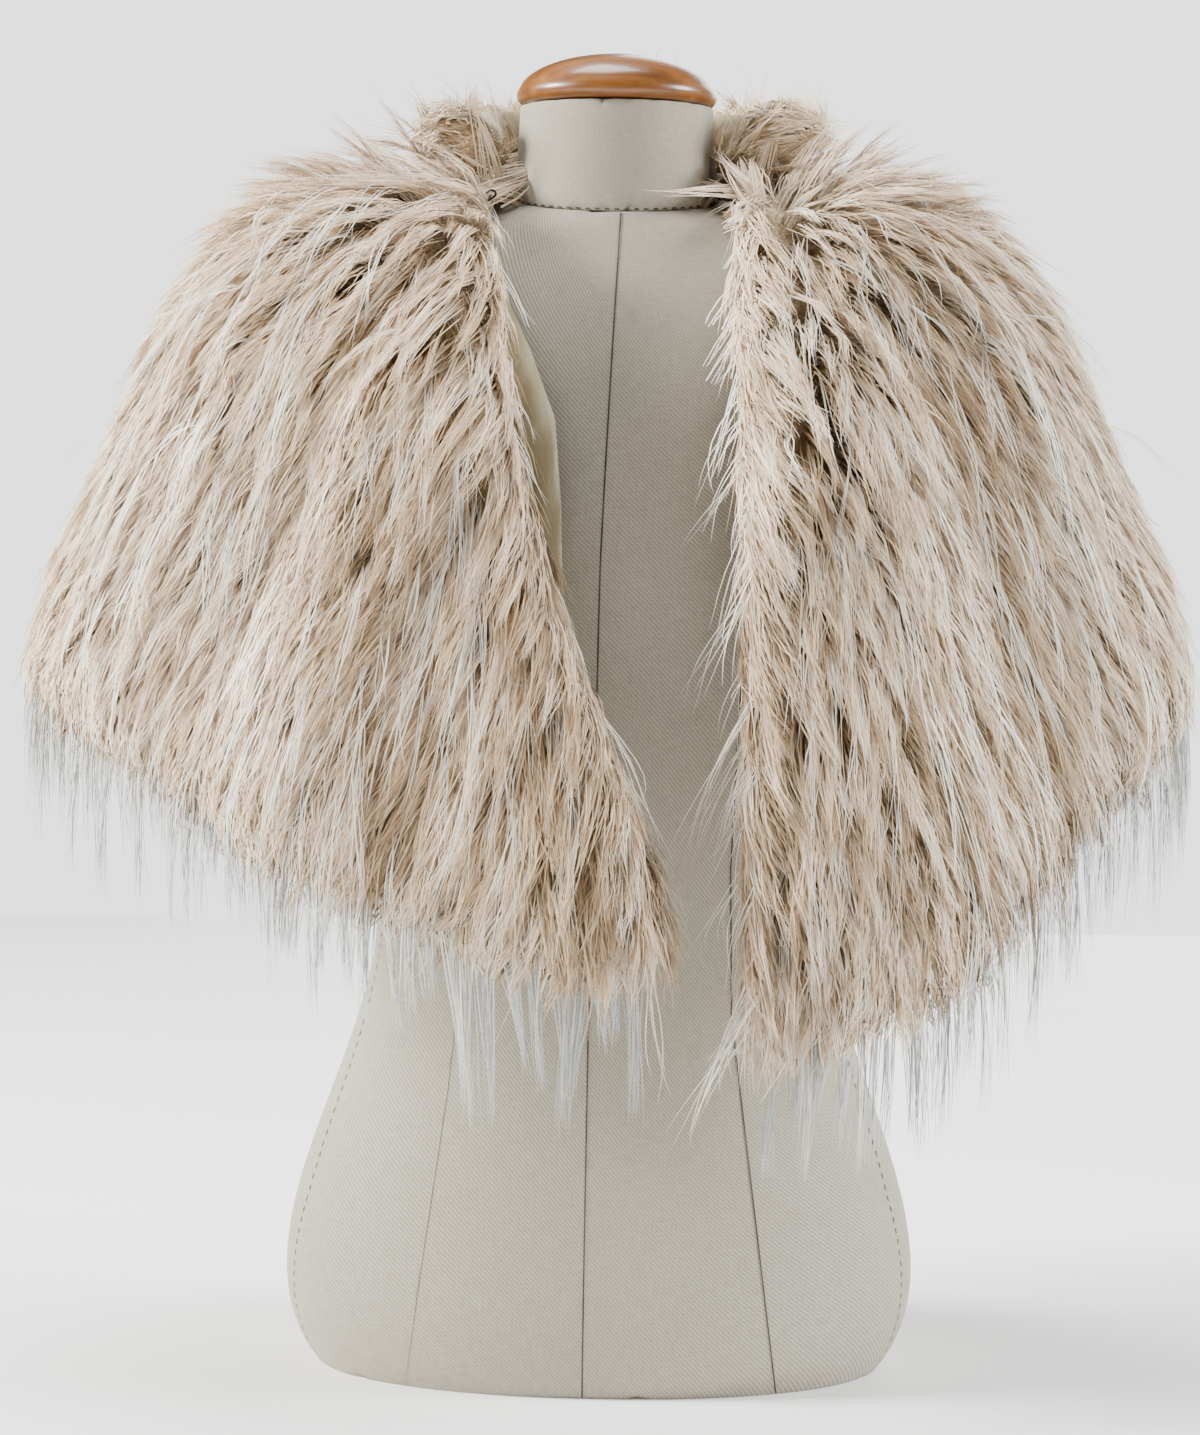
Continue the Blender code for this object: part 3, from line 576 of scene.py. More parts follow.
def faces_out(face):
    """True on the side of a fur solid that looks away from the body."""
    centre = face.calc_center_median()
    core = Vector((0.0, CORE_DEPTH, min(centre.z, CORE_TOP)))
    return face.normal.dot((centre - core).normalized()) > LEAST_TURN


FUR_NODES = ("fur_right_front", "fur_left_front", "fur_back", "fur_collar")
outer, inner = {}, {}
for node in FUR_NODES:
    bm = merged(node)
    bm.normal_update()
    faces = list(bm.faces)
    outer[node] = Side(bm, [f for f in faces if faces_out(f)])
    inner[node] = Side(bm, [f for f in faces if not faces_out(f)])
    bm.free()
    areas = [round(side[node].areas.sum(), 4) for side in (outer, inner)]
    print(node, "outer and inner m2:", areas)

# %% [markdown]
# The pelts
# Under the hair each panel is leather with a short woolly undercoat. It has the form of the solid with
# its outer face drawn in to about half the depth of the pile, so it is a sheet the hair can root in.

# %% Pelts from the fur solids
UNDERCOAT_SHARE = 0.5
THICKEST_PELT = 15.0 * MM


def sunk(points, leather, share):
    """Points drawn in towards the leather by a share of the pile, or more where it is deep."""
    foot, _ = leather.nearest(points)
    depth = np.linalg.norm(points - foot, axis=1, keepdims=True)
    share = np.maximum(share, 1 - THICKEST_PELT / np.maximum(depth, 1e-9))
    return points + (foot - points) * share


def add_pelt(node, name):
    bm = merged(node)
    bm.normal_update()
    skin = {v for face in bm.faces if not faces_out(face) for v in face.verts}
    hairy = [v for v in bm.verts if v not in skin]
    places = sunk(np.array([v.co for v in hairy]), inner[node], UNDERCOAT_SHARE)
    for vert, place in zip(hairy, places):
        vert.co = place
    pelt = add_piece(bm, name, undercoat)
    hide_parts(node)
    return pelt


pelts = {node: add_pelt(node, node.replace("fur", "pelt")) for node in FUR_NODES}
print("pelts:", [p.name for p in pelts.values()])

# %% [markdown]
# Which way the hair lies
# Hair falls down the coat and a little away from a few partings: on the wearer's left one runs down
# over the breast, and on the right one follows the opening. At the foot of the collar a whorl on each
# side fans the hair up over the neckline. The collar's own hair stands up and out.

# %% Combing
SPLAY = 0.3
# Height and sideways place of the parting on each front
PARTINGS = {
    "fur_right_front": ((0.24, 0.0), (0.4, -0.035), (0.53, -0.065), (0.63, -0.08)),
    "fur_left_front": ((0.24, 0.15), (0.4, 0.135), (0.55, 0.12), (0.65, 0.108)),
}
PARTING_WIDTH = 0.045
PARTING_SWING = 0.3
PARTING_FADE = 0.13
PARTING_LIFT = 0.22
PARTING_RIDGE = 0.02
STEADY_SWING = 0.08
SWING_WIDTH = 0.2
# Centre of each whorl, and how far its fan leans to the side
WHORLS = (((0.094, -0.062, 0.632), 0.004), ((-0.094, -0.06, 0.634), -0.03))
WHORL_SIZE = 0.045
WHORL_PULL = 1.7
# A whorl has no pull further below its centre than this
WHORL_FOOT = 0.004
COLLAR_LIFT = 0.35
# How steeply the collar's hair stands, for each metre towards the back, and more on the wearer's left
COLLAR_RISE = 14.0
COLLAR_LEAN = 0.3
NECK_LIFT = 0.12
COAT_LIFT = 0.12
# The neck's lift sets in from this height, over this reach
NECK_START = 0.6
NECK_BLEND = 0.05
# Hair hangs free where the face turns down by more than this
UNDERSIDE = 0.3


def comb(node, points, normals):
    """The direction in which the hair lies at each point, lifted off the surface where it stands up."""
    away = unit(points * (1, 1, 0))
    around = np.cross((0, 0, 1), away)
    if node == "fur_collar":
        rise = COLLAR_RISE * points[:, 1:2] + COLLAR_LEAN * np.tanh(points[:, :1] / WHORL_SIZE)
        lie = along(normals, away + rise * (0, 0, 1)) + away * COLLAR_LIFT
    else:
        down = away * SPLAY + (0, 0, -1)
        flat = down - normals * (down * normals).sum(axis=1, keepdims=True)
        neck = np.clip((points[:, 2] - NECK_START) / NECK_BLEND, 0, 1)
        lift = COAT_LIFT + NECK_LIFT * neck + np.clip(-normals[:, 2] - UNDERSIDE, 0, 1)
        swing = STEADY_SWING * np.tanh(points[:, 0] / SWING_WIDTH)
        if node in PARTINGS:
            heights, places = zip(*PARTINGS[node])
            offset = points[:, 0] - np.interp(points[:, 2], heights, places)
            size = STEADY_SWING + PARTING_SWING * np.exp(-((offset / PARTING_FADE) ** 2))
            swing = size * np.tanh(offset / PARTING_WIDTH)
            lift = lift + PARTING_LIFT * np.exp(-((offset / PARTING_RIDGE) ** 2))
        towards_left = np.where(points[:, 1] < 0, 1, -1)
        lie = flat + around * (swing * towards_left)[:, None] + normals * lift[:, None]
    for centre, lean in WHORLS:
        off = points - centre + (lean, 0.0, 0.0)
        pull = np.exp(-((np.linalg.norm(off, axis=1) / WHORL_SIZE) ** 2)) * (off[:, 2] > -WHORL_FOOT)
        lie = lie + along(normals, off) * WHORL_PULL * pull[:, None]
    return unit(lie)


print("combing ready for", list(PARTINGS))

# %% [markdown]
# Hair as joined strands
# A coat holds far too many hairs to model one by one, so each strand here stands for a fine wisp: a flat
# tapered ribbon of a few faces. Strands gather in pointed clumps, as fur does. Thousands of them are
# worked out at once in arrays and joined in one mesh for each panel.

# %% Strand meshes
STATIONS = np.array([0.0, 0.36, 0.7, 1.0])
TAPER = np.array([1.0, 0.9, 0.62, 0.12])


def strand_mesh(name, paths, sides, widths, taper, shades):
    """One mesh of ribbons. Paths are strand x station x 3, and shades run from 0 to 1."""
    strands, stations = paths.shape[:2]
    reach = sides[:, None, :] * (widths[:, None] * taper)[:, :, None] / 2
    points = np.stack([paths - reach, paths + reach], axis=2).reshape(-1, 3)
    first = np.arange(strands)[:, None] * stations * 2 + np.arange(stations - 1)[None, :] * 2
    faces = np.stack([first, first + 1, first + 3, first + 2], axis=2).reshape(-1, 4)
    mesh = bpy.data.meshes.new(name)
    mesh.from_pydata(points.tolist(), [], faces.tolist())
    cell = np.floor(np.clip(shades, 0, 0.999) * SHADES)[:, None, None]
    edge = np.array([0.2, 0.8, 0.8, 0.2])[None, None, :]
    level = np.linspace(0.02, 0.98, stations)
    rise = np.stack([level[:-1], level[:-1], level[1:], level[1:]], axis=1)[None]
    across = np.broadcast_to((cell + edge) / SHADES, (strands, stations - 1, 4))
    up = np.broadcast_to(rise, (strands, stations - 1, 4))
    strand_map = mesh.uv_layers.new(name=STRAND_MAP)
    strand_map.data.foreach_set("uv", np.stack([across, up], axis=3).ravel())
    return mesh


def shade_softly(mesh, normals):
    """Gives each ribbon the normal of the coat under it, for the even shading of fur."""
    every = np.repeat(normals, len(mesh.vertices) // len(normals), axis=0)
    mesh.normals_split_custom_set_from_vertices(every.tolist())


def bend(roots, middles, tips, stations):
    """Points along the bow from each root over its middle to its tip."""
    t = stations[None, :, None]
    return (1 - t) ** 2 * roots[:, None] + 2 * t * (1 - t) * middles[:, None] + t**2 * tips[:, None]


# %% [markdown]
# The dense coat
# Each clump has a foot on the outer face and a tip further along the way the hair lies. The feet keep
# an even distance, so no bare leather shows. Strands root around the foot, deep in the pile, rise
# through it and close in on the tip.

# %% Clumps of fur
CLUMP_GAP = 7.4 * MM
CLUMP_WIDTH = 7.5 * MM
CLUMP_LENGTH = 10.0 * MM
STRAND_WIDTH = 0.95 * MM
ROOT_SHARE = 0.6
TIP_STRAY = 0.12
CLUMP_TWIST = 0.13
UNDERSIDE_CUT = 0.7
# How soon hair that stands up lets its tip leave the face, and how far along the hair it bows
STANDING_GAIN = 1.6
BOW_SHARE = 0.34
BOW_LIFT = 2.0 * MM
# Spread of the tips of a clump across, along and off the coat, and how much wider the loose ones are
TIP_SPREAD = (3.0 * MM, 9.0 * MM, 2.0 * MM)
LOOSE_SHARE = 0.2
LOOSE_SPREAD = 2.2
STRAND_ROLL = 0.7
# Mean shade of the hair, and how much it varies by clump and by strand
MEAN_SHADE = 0.72
CLUMP_SHADE = 0.15
STRAND_SHADE = 0.12
# Points scattered for each clump that is kept, and how the gap shrinks when too few are kept
TRIES_EACH = 5
GAP_SHRINK = 0.94
# Clumps aimed at on each panel, strands in each, and the shortest and longest hair
COATS = {
    "fur_right_front": (1900, 19, 32 * MM, 50 * MM),
    "fur_left_front": (1750, 19, 32 * MM, 50 * MM),
    "fur_back": (3900, 13, 32 * MM, 50 * MM),
    "fur_collar": (560, 22, 18 * MM, 32 * MM),
}


def spread_evenly(points, wanted, gap):
    """Picks points in turn that keep a distance from those picked before. The gap shrinks if need be."""
    while True:
        taken, picked = {}, []
        for index, point in enumerate(points.tolist()):
            cell = tuple(int(c // gap) for c in point)
            near = [
                other
                for i in (-1, 0, 1)
                for j in (-1, 0, 1)
                for k in (-1, 0, 1)
                for other in taken.get((cell[0] + i, cell[1] + j, cell[2] + k), ())
            ]
            if all(math.dist(point, other) > gap for other in near):
                taken.setdefault(cell, []).append(point)
                picked.append(index)
        if len(picked) >= wanted:
            return picked[:wanted]
        gap *= GAP_SHRINK


def coat_strands(node, random):
    """Paths, side directions, widths and shades of the strands over one panel."""
    clumps, strands, shortest, longest = COATS[node]
    clumps = clumps
    foot, normal = outer[node].scatter(clumps * TRIES_EACH, random)
    kept = spread_evenly(foot, clumps, CLUMP_GAP * (1))
    foot, normal = foot[kept], normal[kept]
    lie = comb(node, foot, normal)
    side = unit(np.cross(lie, normal))
    lie = unit(lie + side * random.normal(0, CLUMP_TWIST, (clumps, 1)))
    length = random.uniform(shortest, longest, (clumps, 1))
    length = length * (1 - UNDERSIDE_CUT * np.clip(-normal[:, 2:], 0, 1))
    aimed = foot + lie * length
    on_face, face_normal = outer[node].nearest(aimed)
    standing = np.clip((lie * normal).sum(axis=1, keepdims=True) * STANDING_GAIN, 0, 1)
    stray = TIP_STRAY + (1 - TIP_STRAY) * standing
    tip = on_face + (aimed - on_face) * stray + face_normal * random.uniform(-4, 2, (clumps, 1)) * MM
    root = sunk(foot, inner[node], ROOT_SHARE)
    tone = random.normal(0, 1, clumps)

    def each(values):
        return np.repeat(values, strands, axis=0)

    count = clumps * strands
    loose = np.where(random.uniform(size=(count, 1)) < LOOSE_SHARE, LOOSE_SPREAD, 1.0)
    spread = random.normal(0, 0.5, (count, 2))
    pinch = random.normal(0, 0.5, (count, 3)) * TIP_SPREAD * loose
    roots = each(root) + each(side) * spread[:, :1] * CLUMP_WIDTH + each(lie) * spread[:, 1:] * CLUMP_LENGTH
    tips = each(tip) + each(side) * pinch[:, :1] + each(lie) * pinch[:, 1:2] + each(normal) * pinch[:, 2:]
    rise = each(np.linalg.norm(foot - root, axis=1)[:, None])
    middles = roots + each(normal) * (rise + BOW_LIFT) + each(lie) * each(length) * BOW_SHARE
    roll = random.uniform(-STRAND_ROLL, STRAND_ROLL, (count, 1))
    sides = unit(each(side) * np.cos(roll) + each(normal) * np.sin(roll))
    light = MEAN_SHADE + each(tone) * CLUMP_SHADE + random.normal(0, STRAND_SHADE, count)
    widths = STRAND_WIDTH * random.uniform(0.7, 1.3, count)
    shades = hair_shades(each(foot), light, random)
    facing = unit(each(normal) + np.cross(sides, unit(tips - roots)))
    return bend(roots, middles, tips, STATIONS), sides, widths, shades, facing


# Valleys of the fronts where shade is painted into the hair, from the top down: height and place across
VALLEY_LINES = (
    ((0.62, 0.13), (0.56, 0.175), (0.5, 0.195), (0.43, 0.205), (0.37, 0.215)),
    ((0.44, 0.075), (0.36, 0.08), (0.27, 0.095)),
    ((0.37, 0.165), (0.29, 0.185)),
    ((0.5, -0.115), (0.42, -0.11), (0.32, -0.1)),
    ((0.37, -0.035), (0.29, -0.01), (0.25, -0.005)),
)
VALLEY_WIDTH = 0.016
VALLEY_END = 0.02
VALLEY_DARKENING = 0.3
# Waves of the warm patches across and down, how much of the coat is warm, how that swings, and how far warm
# hair leans to the lit wearer's right as painted light
PATCH_WAVES = (23, 9, 31, 17)
WARM_SHARE = 0.55
WARM_SWING = 0.16
WARM_TILT = 0.5


def painted_valley_shade(points):
    """How much painted shade darkens the coat in its valleys at each point, from 0 to 1."""
    painted_shade = np.zeros(len(points))
    for line in VALLEY_LINES:
        heights, places = zip(*line[::-1])
        off = points[:, 0] - np.interp(points[:, 2], heights, places)
        past = np.maximum(heights[0] - points[:, 2], points[:, 2] - heights[-1])
        near = np.exp(-((off / VALLEY_WIDTH) ** 2)) * (past < VALLEY_END) * (points[:, 1] < 0)
        painted_shade = np.maximum(painted_shade, near)
    return painted_shade


def hair_shades(points, light, random):
    """Picks warm or cool by slow patches over the coat, with more warm on the lit wearer's right as painted
    light, and darkens the valleys with painted shade.
    """
    x, y, z = points.T
    a, b, c, d = PATCH_WAVES
    patch = np.sin(x * a + z * b) + np.sin(z * c - y * d)
    # Painted light: hair on the wearer's right, where the key light falls, is more often warm; the slow
    # patches are random tone
    warm = WARM_SHARE + WARM_SWING * patch - WARM_TILT * x > random.uniform(size=len(points))
    # Painted shade: hair along the listed valleys is darkened
    light = np.clip(light - VALLEY_DARKENING * painted_valley_shade(points), 0.01, 0.97)
    return np.where(warm, light / 2, 0.5 + light / 2)


MOST_STRANDS = 33000
coats = {}
for index, node in enumerate(FUR_NODES):
    paths, sides, widths, shades, normals = coat_strands(node, np.random.default_rng(40 + index))
    parts = math.ceil(len(paths) / MOST_STRANDS)
    order = np.argsort(paths[:, 0, 0], kind="stable")
    coats[node] = []
    for part, picked in enumerate(np.array_split(order, parts)):
        name = node.replace("fur", "hair") + ("" if parts == 1 else "_" + "abc"[part])
        mesh = strand_mesh(name, paths[picked], sides[picked], widths[picked], TAPER, shades[picked])
        coats[node].append(place_mesh(mesh, name, fur))
        shade_softly(mesh, normals[picked])
    print(node, "strands:", len(paths), "pieces:", parts)

# %% [markdown]
# Guard hair past the hem
# The longest hair hangs below the dense coat in loose wavy wisps. On the solids each wisp is a tapered
# lock on a strip under the hem. A walk uphill from each lock's tip finds its root, and a few fine hairs
# take the lock's place.

# %% Guard hairs at the hem
HAIRS_EACH = 20
GUARD_WIDTH = 0.6 * MM
GUARD_STATIONS = np.linspace(0, 1, 8)
# A slow wave in long hair: its size, and its turns from root to tip
HEM_WAVE = 1.4 * MM
WAVE_TURNS = 0.8
# Spread of the roots of a lock, how far in the coat they start, and the spread of its tips
HEM_ROOTS = 4.0 * MM
HEM_START = (4 * MM, 22 * MM)
HEM_TIPS = 1.7 * MM
HEM_TIP_DEPTH = 2.0 * MM
HEM_RAGGED = 9.0 * MM
# How far hairs bow out, and how soon they gather over the tip of their lock
HEM_BOW = 6.0 * MM
HEM_GATHER = 0.7
HEM_ROLL = 0.8
# How far locks drift aside, and by how much the shortest ends early
LOCK_DRIFT = 3.5 * MM
LOCK_CUT = 26 * MM
SHORTEST_LOCK = 25 * MM
GUARD_TAPER = np.array([0.8, 1.0, 1.0, 1.0, 0.9, 0.75, 0.5, 0.12])


def lock_ends(node):
    """Root and tip of each lock on a guard hair solid."""
    bm = merged(node)
    ends = []
    for vert in bm.verts:
        around = [edge.other_vert(vert) for edge in vert.link_edges]
        if any(other.co.z < vert.co.z for other in around):
            continue
        top = vert
        while True:
            higher = max((edge.other_vert(top) for edge in top.link_edges), key=lambda v: v.co.z)
            if higher.co.z <= top.co.z:
                break
            top = higher
            if (top.co - vert.co).length > SHORTEST_LOCK:
                break
        if (top.co - vert.co).length > SHORTEST_LOCK:
            ends.append((tuple(top.co), tuple(vert.co)))
    bm.free()
    return np.array(ends)


def wavy(paths, sides, normals, size, turns, random):
    """Adds a slow wave that grows towards the tips."""
    count, stations = paths.shape[:2]
    t = np.linspace(0, 1, stations)[None, :, None]
    start = random.uniform(0, 2 * math.pi, (count, 1, 1))
    speed = random.uniform(0.7, 1.3, (count, 1, 1)) * turns * 2 * math.pi
    wave = np.sin(start + speed * t) * t * size
    swirl = np.cos(start + speed * t) * t * size * 0.6
    return paths + wave * sides[:, None] + swirl * normals[:, None]


def hem_hairs(node, random):
    """Long hairs in place of each lock. Some locks end early or drift aside, so none look combed."""
    locks = lock_ends(node)
    ends = np.repeat(locks, HAIRS_EACH, axis=0)
    drift = np.repeat(random.normal(0, LOCK_DRIFT, (len(locks), 1)), HAIRS_EACH, axis=0)
    early = np.repeat(random.uniform(0, 1, len(locks)) ** 3 * LOCK_CUT, HAIRS_EACH)
    count = len(ends)
    root, tip = ends[:, 0], ends[:, 1]
    out = unit(root * (1, 1, 0))
    side = np.cross(out, (0, 0, 1))
    root = root + side * random.normal(0, HEM_ROOTS, (count, 1))
    root = root - out * random.uniform(-HEM_ROOTS, HEM_ROOTS, (count, 1))
    root[:, 2] += random.uniform(*HEM_START, count)
    tip = tip + side * (drift + random.normal(0, HEM_TIPS, (count, 1)))
    tip = tip + out * random.normal(0, HEM_TIP_DEPTH, (count, 1))
    tip[:, 2] += early + np.abs(random.normal(0, HEM_RAGGED, count))
    middle = root + (tip - root) * HEM_GATHER + out * random.uniform(0, HEM_BOW, (count, 1))
    middle[:, 2] = (root[:, 2] + tip[:, 2]) / 2
    paths = bend(root, middle, tip, GUARD_STATIONS)
    paths = wavy(paths, side, out, HEM_WAVE, WAVE_TURNS, random)
    roll = random.uniform(-HEM_ROLL, HEM_ROLL, (count, 1))
    sides = unit(side * np.cos(roll) + out * np.sin(roll))
    widths = GUARD_WIDTH * random.uniform(0.7, 1.2, count)
    return paths, sides, widths, random.uniform(0.0, 0.45, count), out


for index, panel in enumerate(("right_front", "left_front", "back")):
    node = "guard_hair_" + panel
    paths, sides, widths, shades, normals = hem_hairs(node, np.random.default_rng(70 + index))
    mesh = strand_mesh("hem_hair_" + panel, paths, sides, widths, GUARD_TAPER, shades)
    place_mesh(mesh, "hem_hair_" + panel, guard_hair)
    shade_softly(mesh, normals)
    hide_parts(node)
    print(node, "hairs:", len(paths))

# %% [markdown]
# Stray guard hairs over the coat
# White hairs longer than the rest lie over the whole coat in small groups and catch the light. Along
# the opening they swing loose over the edge, and over the shoulders a few stand clear of the outline.

# %% Guard hairs over the coat
# Groups on each panel, and the shortest and longest of their hairs
STRAYS = {
    "fur_right_front": (260, 55 * MM, 110 * MM),
    "fur_left_front": (230, 55 * MM, 110 * MM),
    "fur_back": (400, 55 * MM, 100 * MM),
    "fur_collar": (60, 35 * MM, 60 * MM),
}
HAIRS_IN_GROUP = 4
GROUP_ROOTS = 4.0 * MM
GROUP_ROOT_DEPTH = 4.0 * MM
GROUP_RAGGED = 8.0 * MM
GROUP_WAVE = 2.2 * MM
# Turn of a group from the way the coat lies, and how high its middle and end may rise off the coat
STRAY_TURN = 0.14
STRAY_MIDDLE = (1 * MM, 6 * MM)
STRAY_END = 7.0 * MM
# Spread of the tips of a group on the coat, over the opening, and clear of the shoulders
STRAY_TIPS = 3.5 * MM
EDGE_TIPS = 4.0 * MM
WILD_TIPS = 5.0 * MM


def group_paths(foot, half, end, side, normal, spread, random):
    """Hairs of each group: they leave the foot together and spread towards the end."""

    def each(values):
        return np.repeat(values, HAIRS_IN_GROUP, axis=0)

    count = len(foot) * HAIRS_IN_GROUP
    roots = each(foot) + each(side) * random.normal(0, GROUP_ROOTS, (count, 1))
    middles = each(half) + each(side) * random.normal(0, 0.5 * spread, (count, 1))
    tips = each(end) + each(side) * random.normal(0, spread, (count, 1))
    tips = tips + each(unit(end - foot)) * random.normal(0, GROUP_RAGGED, (count, 1))
    paths = bend(roots, middles * 2 - (roots + tips) / 2, tips, GUARD_STATIONS)
    paths = wavy(paths, each(side), each(normal), GROUP_WAVE, WAVE_TURNS, random)
    widths = GUARD_WIDTH * random.uniform(0.6, 1.1, count)
    return paths, each(side), widths, random.uniform(0.3, 1, count), each(normal)


def stray_hairs(node, random):
    """Groups of long hairs that lie on the coat."""
    groups, shortest, longest = STRAYS[node]
    foot, normal = outer[node].scatter(groups, random)
    lie = unit(comb(node, foot, normal) + along(normal, np.array((0.0, 0.0, -1.0))))
    side = unit(np.cross(lie, normal))
    lie = unit(lie + side * random.normal(0, STRAY_TURN, (groups, 1)))
    length = random.uniform(shortest, longest, (groups, 1))
    half, half_normal = outer[node].nearest(foot + lie * length / 2)
    aimed = half + along(half_normal, lie) * length / 2
    end, end_normal = outer[node].nearest(aimed)
    end = end + (aimed - end) * 0.6 + end_normal * random.uniform(0, STRAY_END, (groups, 1))
    half = half + half_normal * random.uniform(*STRAY_MIDDLE, (groups, 1))
    return group_paths(foot - normal * GROUP_ROOT_DEPTH, half, end, side, normal, STRAY_TIPS, random)


# Groups along each opening edge, and which way their hairs swing over it
EDGE_WISPS = {"fur_right_front": (38, 1.0), "fur_left_front": (60, -1.0)}
EDGE_REACH = 16 * MM
EDGE_LENGTH = (40 * MM, 100 * MM)
EDGE_LEAN = 0.7
EDGE_FORWARD = 0.25
EDGE_TRIES = 6000
EDGE_BAND = 0.02
# The opening is where the coat lies further forward than this
FRONT = -0.04


def edge_hairs(node, random):
    """Groups of long hairs rooted along the opening, which bow out over the edge and hang."""
    groups, swing = EDGE_WISPS[node]
    foot, normal = outer[node].scatter(EDGE_TRIES, random)
    band = np.floor(foot[:, 2] / EDGE_BAND).astype(int)
    edge = np.array([np.max(foot[band == b, 0] * swing) for b in range(band.max() + 1) if (band == b).any()])
    edge = edge[band - band.min()]
    near = np.flatnonzero((edge - foot[:, 0] * swing < EDGE_REACH) & (foot[:, 1] < FRONT))
    chosen = near[:groups]
    foot, normal = foot[chosen], normal[chosen]
    length = random.uniform(*EDGE_LENGTH, (groups, 1))
    lean = random.uniform(0.0, EDGE_LEAN, (groups, 1))
    reach = np.array((swing, 0.0, 0.0)) * lean
    front = np.array((0.0, -1.0, 0.0)) * random.uniform(0.0, EDGE_FORWARD, (groups, 1))
    half = foot + unit(reach + front + (0, 0, -0.9)) * length * 0.5
    end = half + unit(reach * 0.8 + front * 0.2 + (0, 0, -1.0)) * length * 0.5
    side = np.broadcast_to((-1.0, 0.0, 0.0), foot.shape)
    return group_paths(foot - normal * GROUP_ROOT_DEPTH, half, end, side, normal, EDGE_TIPS, random)


# Groups over each panel's shoulder that stand clear of the outline
WILD = {"fur_right_front": 26, "fur_left_front": 26, "fur_back": 40, "fur_collar": 16}
WILD_HEIGHT = 0.5
WILD_LENGTH = (25 * MM, 50 * MM)
WILD_TURN = 0.35
WILD_LIFT = 0.45
WILD_FALL = 0.25
WILD_TRIES = 40


def wild_hairs(node, random):
    """Groups of hairs that bow away from the coat over the shoulders and round the collar."""
    foot, normal = outer[node].scatter(WILD_TRIES * WILD[node], random)
    chosen = np.flatnonzero(foot[:, 2] > WILD_HEIGHT)[: WILD[node]]
    foot, normal = foot[chosen], normal[chosen]
    lie = unit(comb(node, foot, normal) + unit(random.normal(0, 1, foot.shape)) * WILD_TURN)
    length = random.uniform(*WILD_LENGTH, (len(foot), 1))
    half = foot + unit(lie + normal * WILD_LIFT) * length / 2
    end = half + unit(lie - (0, 0, WILD_FALL)) * length / 2
    side = unit(np.cross(lie, normal))
    return group_paths(foot - normal * GROUP_ROOT_DEPTH, half, end, side, normal, WILD_TIPS, random)


# Room past the solids' box that loose hair may fill
ROOM = 19 * MM
for index, node in enumerate(FUR_NODES):
    kinds = [stray_hairs, wild_hairs] + ([edge_hairs] if node in EDGE_WISPS else [])
    random = np.random.default_rng(90 + index)
    paths, sides, widths, shades, normals = (
        np.concatenate(parts) for parts in zip(*(kind(node, random) for kind in kinds))
    )
    paths = np.clip(paths, np.array(cad_box[0]) - ROOM, np.array(cad_box[1]) + ROOM)
    name = node.replace("fur", "stray_hair")
    mesh = strand_mesh(name, paths, sides, widths, GUARD_TAPER, shades)
    place_mesh(mesh, name, guard_hair)
    shade_softly(mesh, normals)
    print(name, "hairs:", len(paths))

# %% [markdown]
# Linings
# Satin lines every panel. It shows where the right front turns back at the opening, where it pulls
# into soft puckers, and inside the collar.

# %% Satin linings
LININGS = ("lining_right_front", "lining_left_front", "lining_back", "lining_collar")
# Place across and depth where the facing leaves the fur, and the height of its deepest pucker
FACING_START = -0.065
FACING_SOFT = 0.02
FACING_DEPTH = -0.08
PUCKER_HEIGHT = 0.52
PUCKER_REACH = 0.035
PUCKER_DEPTH = 3.0 * MM
PUCKER_LENGTH = 0.03
PUCKER_SLANT = 60
PUCKER_CUTS = 2
SLACK = 0.35


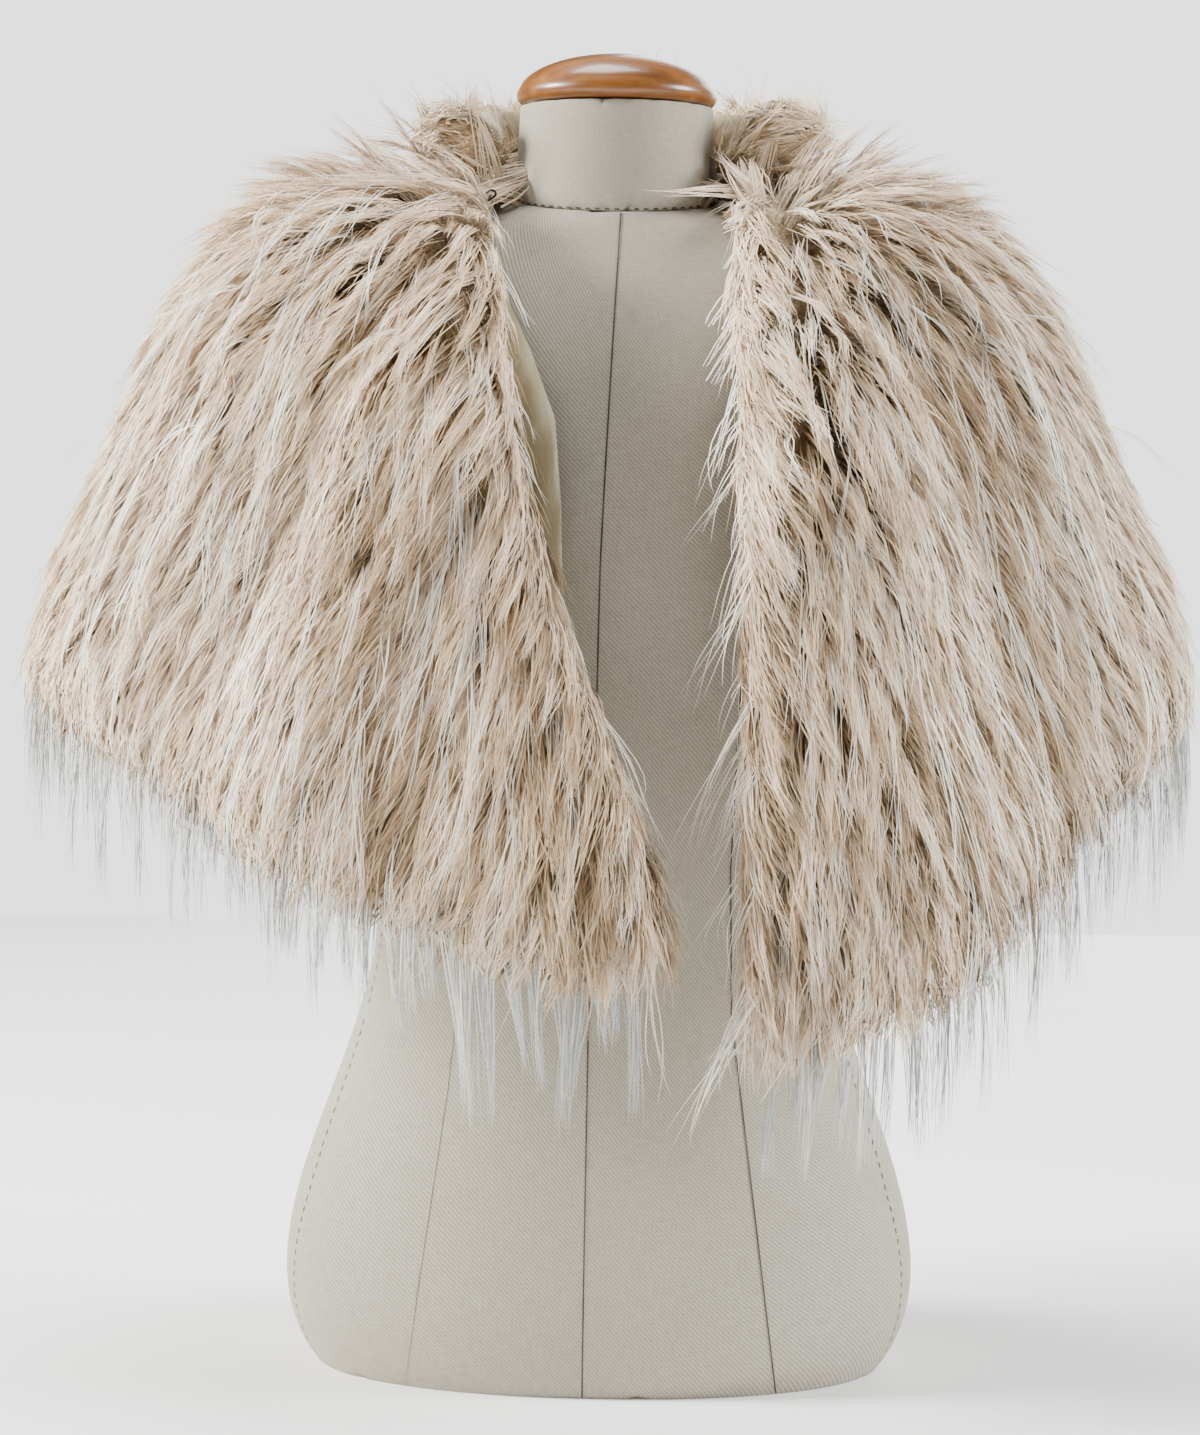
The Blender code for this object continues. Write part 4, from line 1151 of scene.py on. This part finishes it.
def pucker(bm):
    """Ripples the free edge of the facing, most of all where it is pulled at breast height."""
    bmesh.ops.subdivide_edges(bm, edges=bm.edges, cuts=PUCKER_CUTS, use_grid_fill=True)
    for vert in bm.verts:
        x, y, z = vert.co
        free = min(max((x - FACING_START) / FACING_SOFT, 0.0), 1.0) if y < FACING_DEPTH else 0.0
        near = math.exp(-(((z - PUCKER_HEIGHT) / PUCKER_REACH) ** 2))
        wave = math.sin(2 * math.pi * z / PUCKER_LENGTH + x * PUCKER_SLANT) * near
        wave += SLACK * math.sin(math.pi * z / PUCKER_LENGTH)
        vert.co.y -= free * PUCKER_DEPTH * wave


for node in LININGS:
    bm = merged(node)
    if node == "lining_right_front":
        pucker(bm)
    add_piece(bm, node.replace("lining", "satin"), satin)
    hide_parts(node)

# %% [markdown]
# Cloth, floor and sizes
# Every panel of the shrug is a sheet cut flat and then worn, and the size of each cut is listed. The
# floor is a plain pale sweep with a faint glow, which isn't part of the object.

CUTS = {
    "right_front": (0.34, 0.46, 0.12, 0.09),
    "left_front": (0.32, 0.46, 0.107, 0.082),
    "back": (0.72, 0.46, 0.27, 0.22),
    "collar": (0.32, 0.048, 0.015, 0.011),
}
for panel, (width, length, leather, silk) in CUTS.items():
    node = "fur_" + panel
print("sheets:", 2 * len(CUTS))

# %% Floor
FLOOR_SIZE = 4.4
FLOOR_GLOW = 0.1
floor_bm = bmesh.new()
bmesh.ops.create_grid(floor_bm, x_segments=1, y_segments=1, size=FLOOR_SIZE / 2)
floor_mesh = bpy.data.meshes.new("floor")
floor_bm.to_mesh(floor_mesh)
floor_bm.free()
WHITE = (1.0, 1.0, 1.0, 1.0)
floor_finish = Finish("floor_paper", Roughness=0.9, Emission_Strength=FLOOR_GLOW, Emission_Color=WHITE)
floor_cloud = floor_finish.noise(floor_finish.place(), 2.0)
paper = floor_finish.colour(floor_finish.ramp(floor_cloud, (0.3, "F4F4F3"), (0.7, "F8F8F8")))
floor_mesh.materials.append(paper)
floor = bpy.data.objects.new("floor", floor_mesh)
bpy.context.scene.collection.objects.link(floor)
floor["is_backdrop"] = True
print("floor:", FLOOR_SIZE, "m")

# %% Sizes
seen_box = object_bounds()
for axis in range(3):
    low = (cad_box[0][axis] - seen_box[0][axis]) / MM
    high = (seen_box[1][axis] - cad_box[1][axis]) / MM
    print("xyz"[axis], "stands proud in mm:", round(low, 1), round(high, 1))
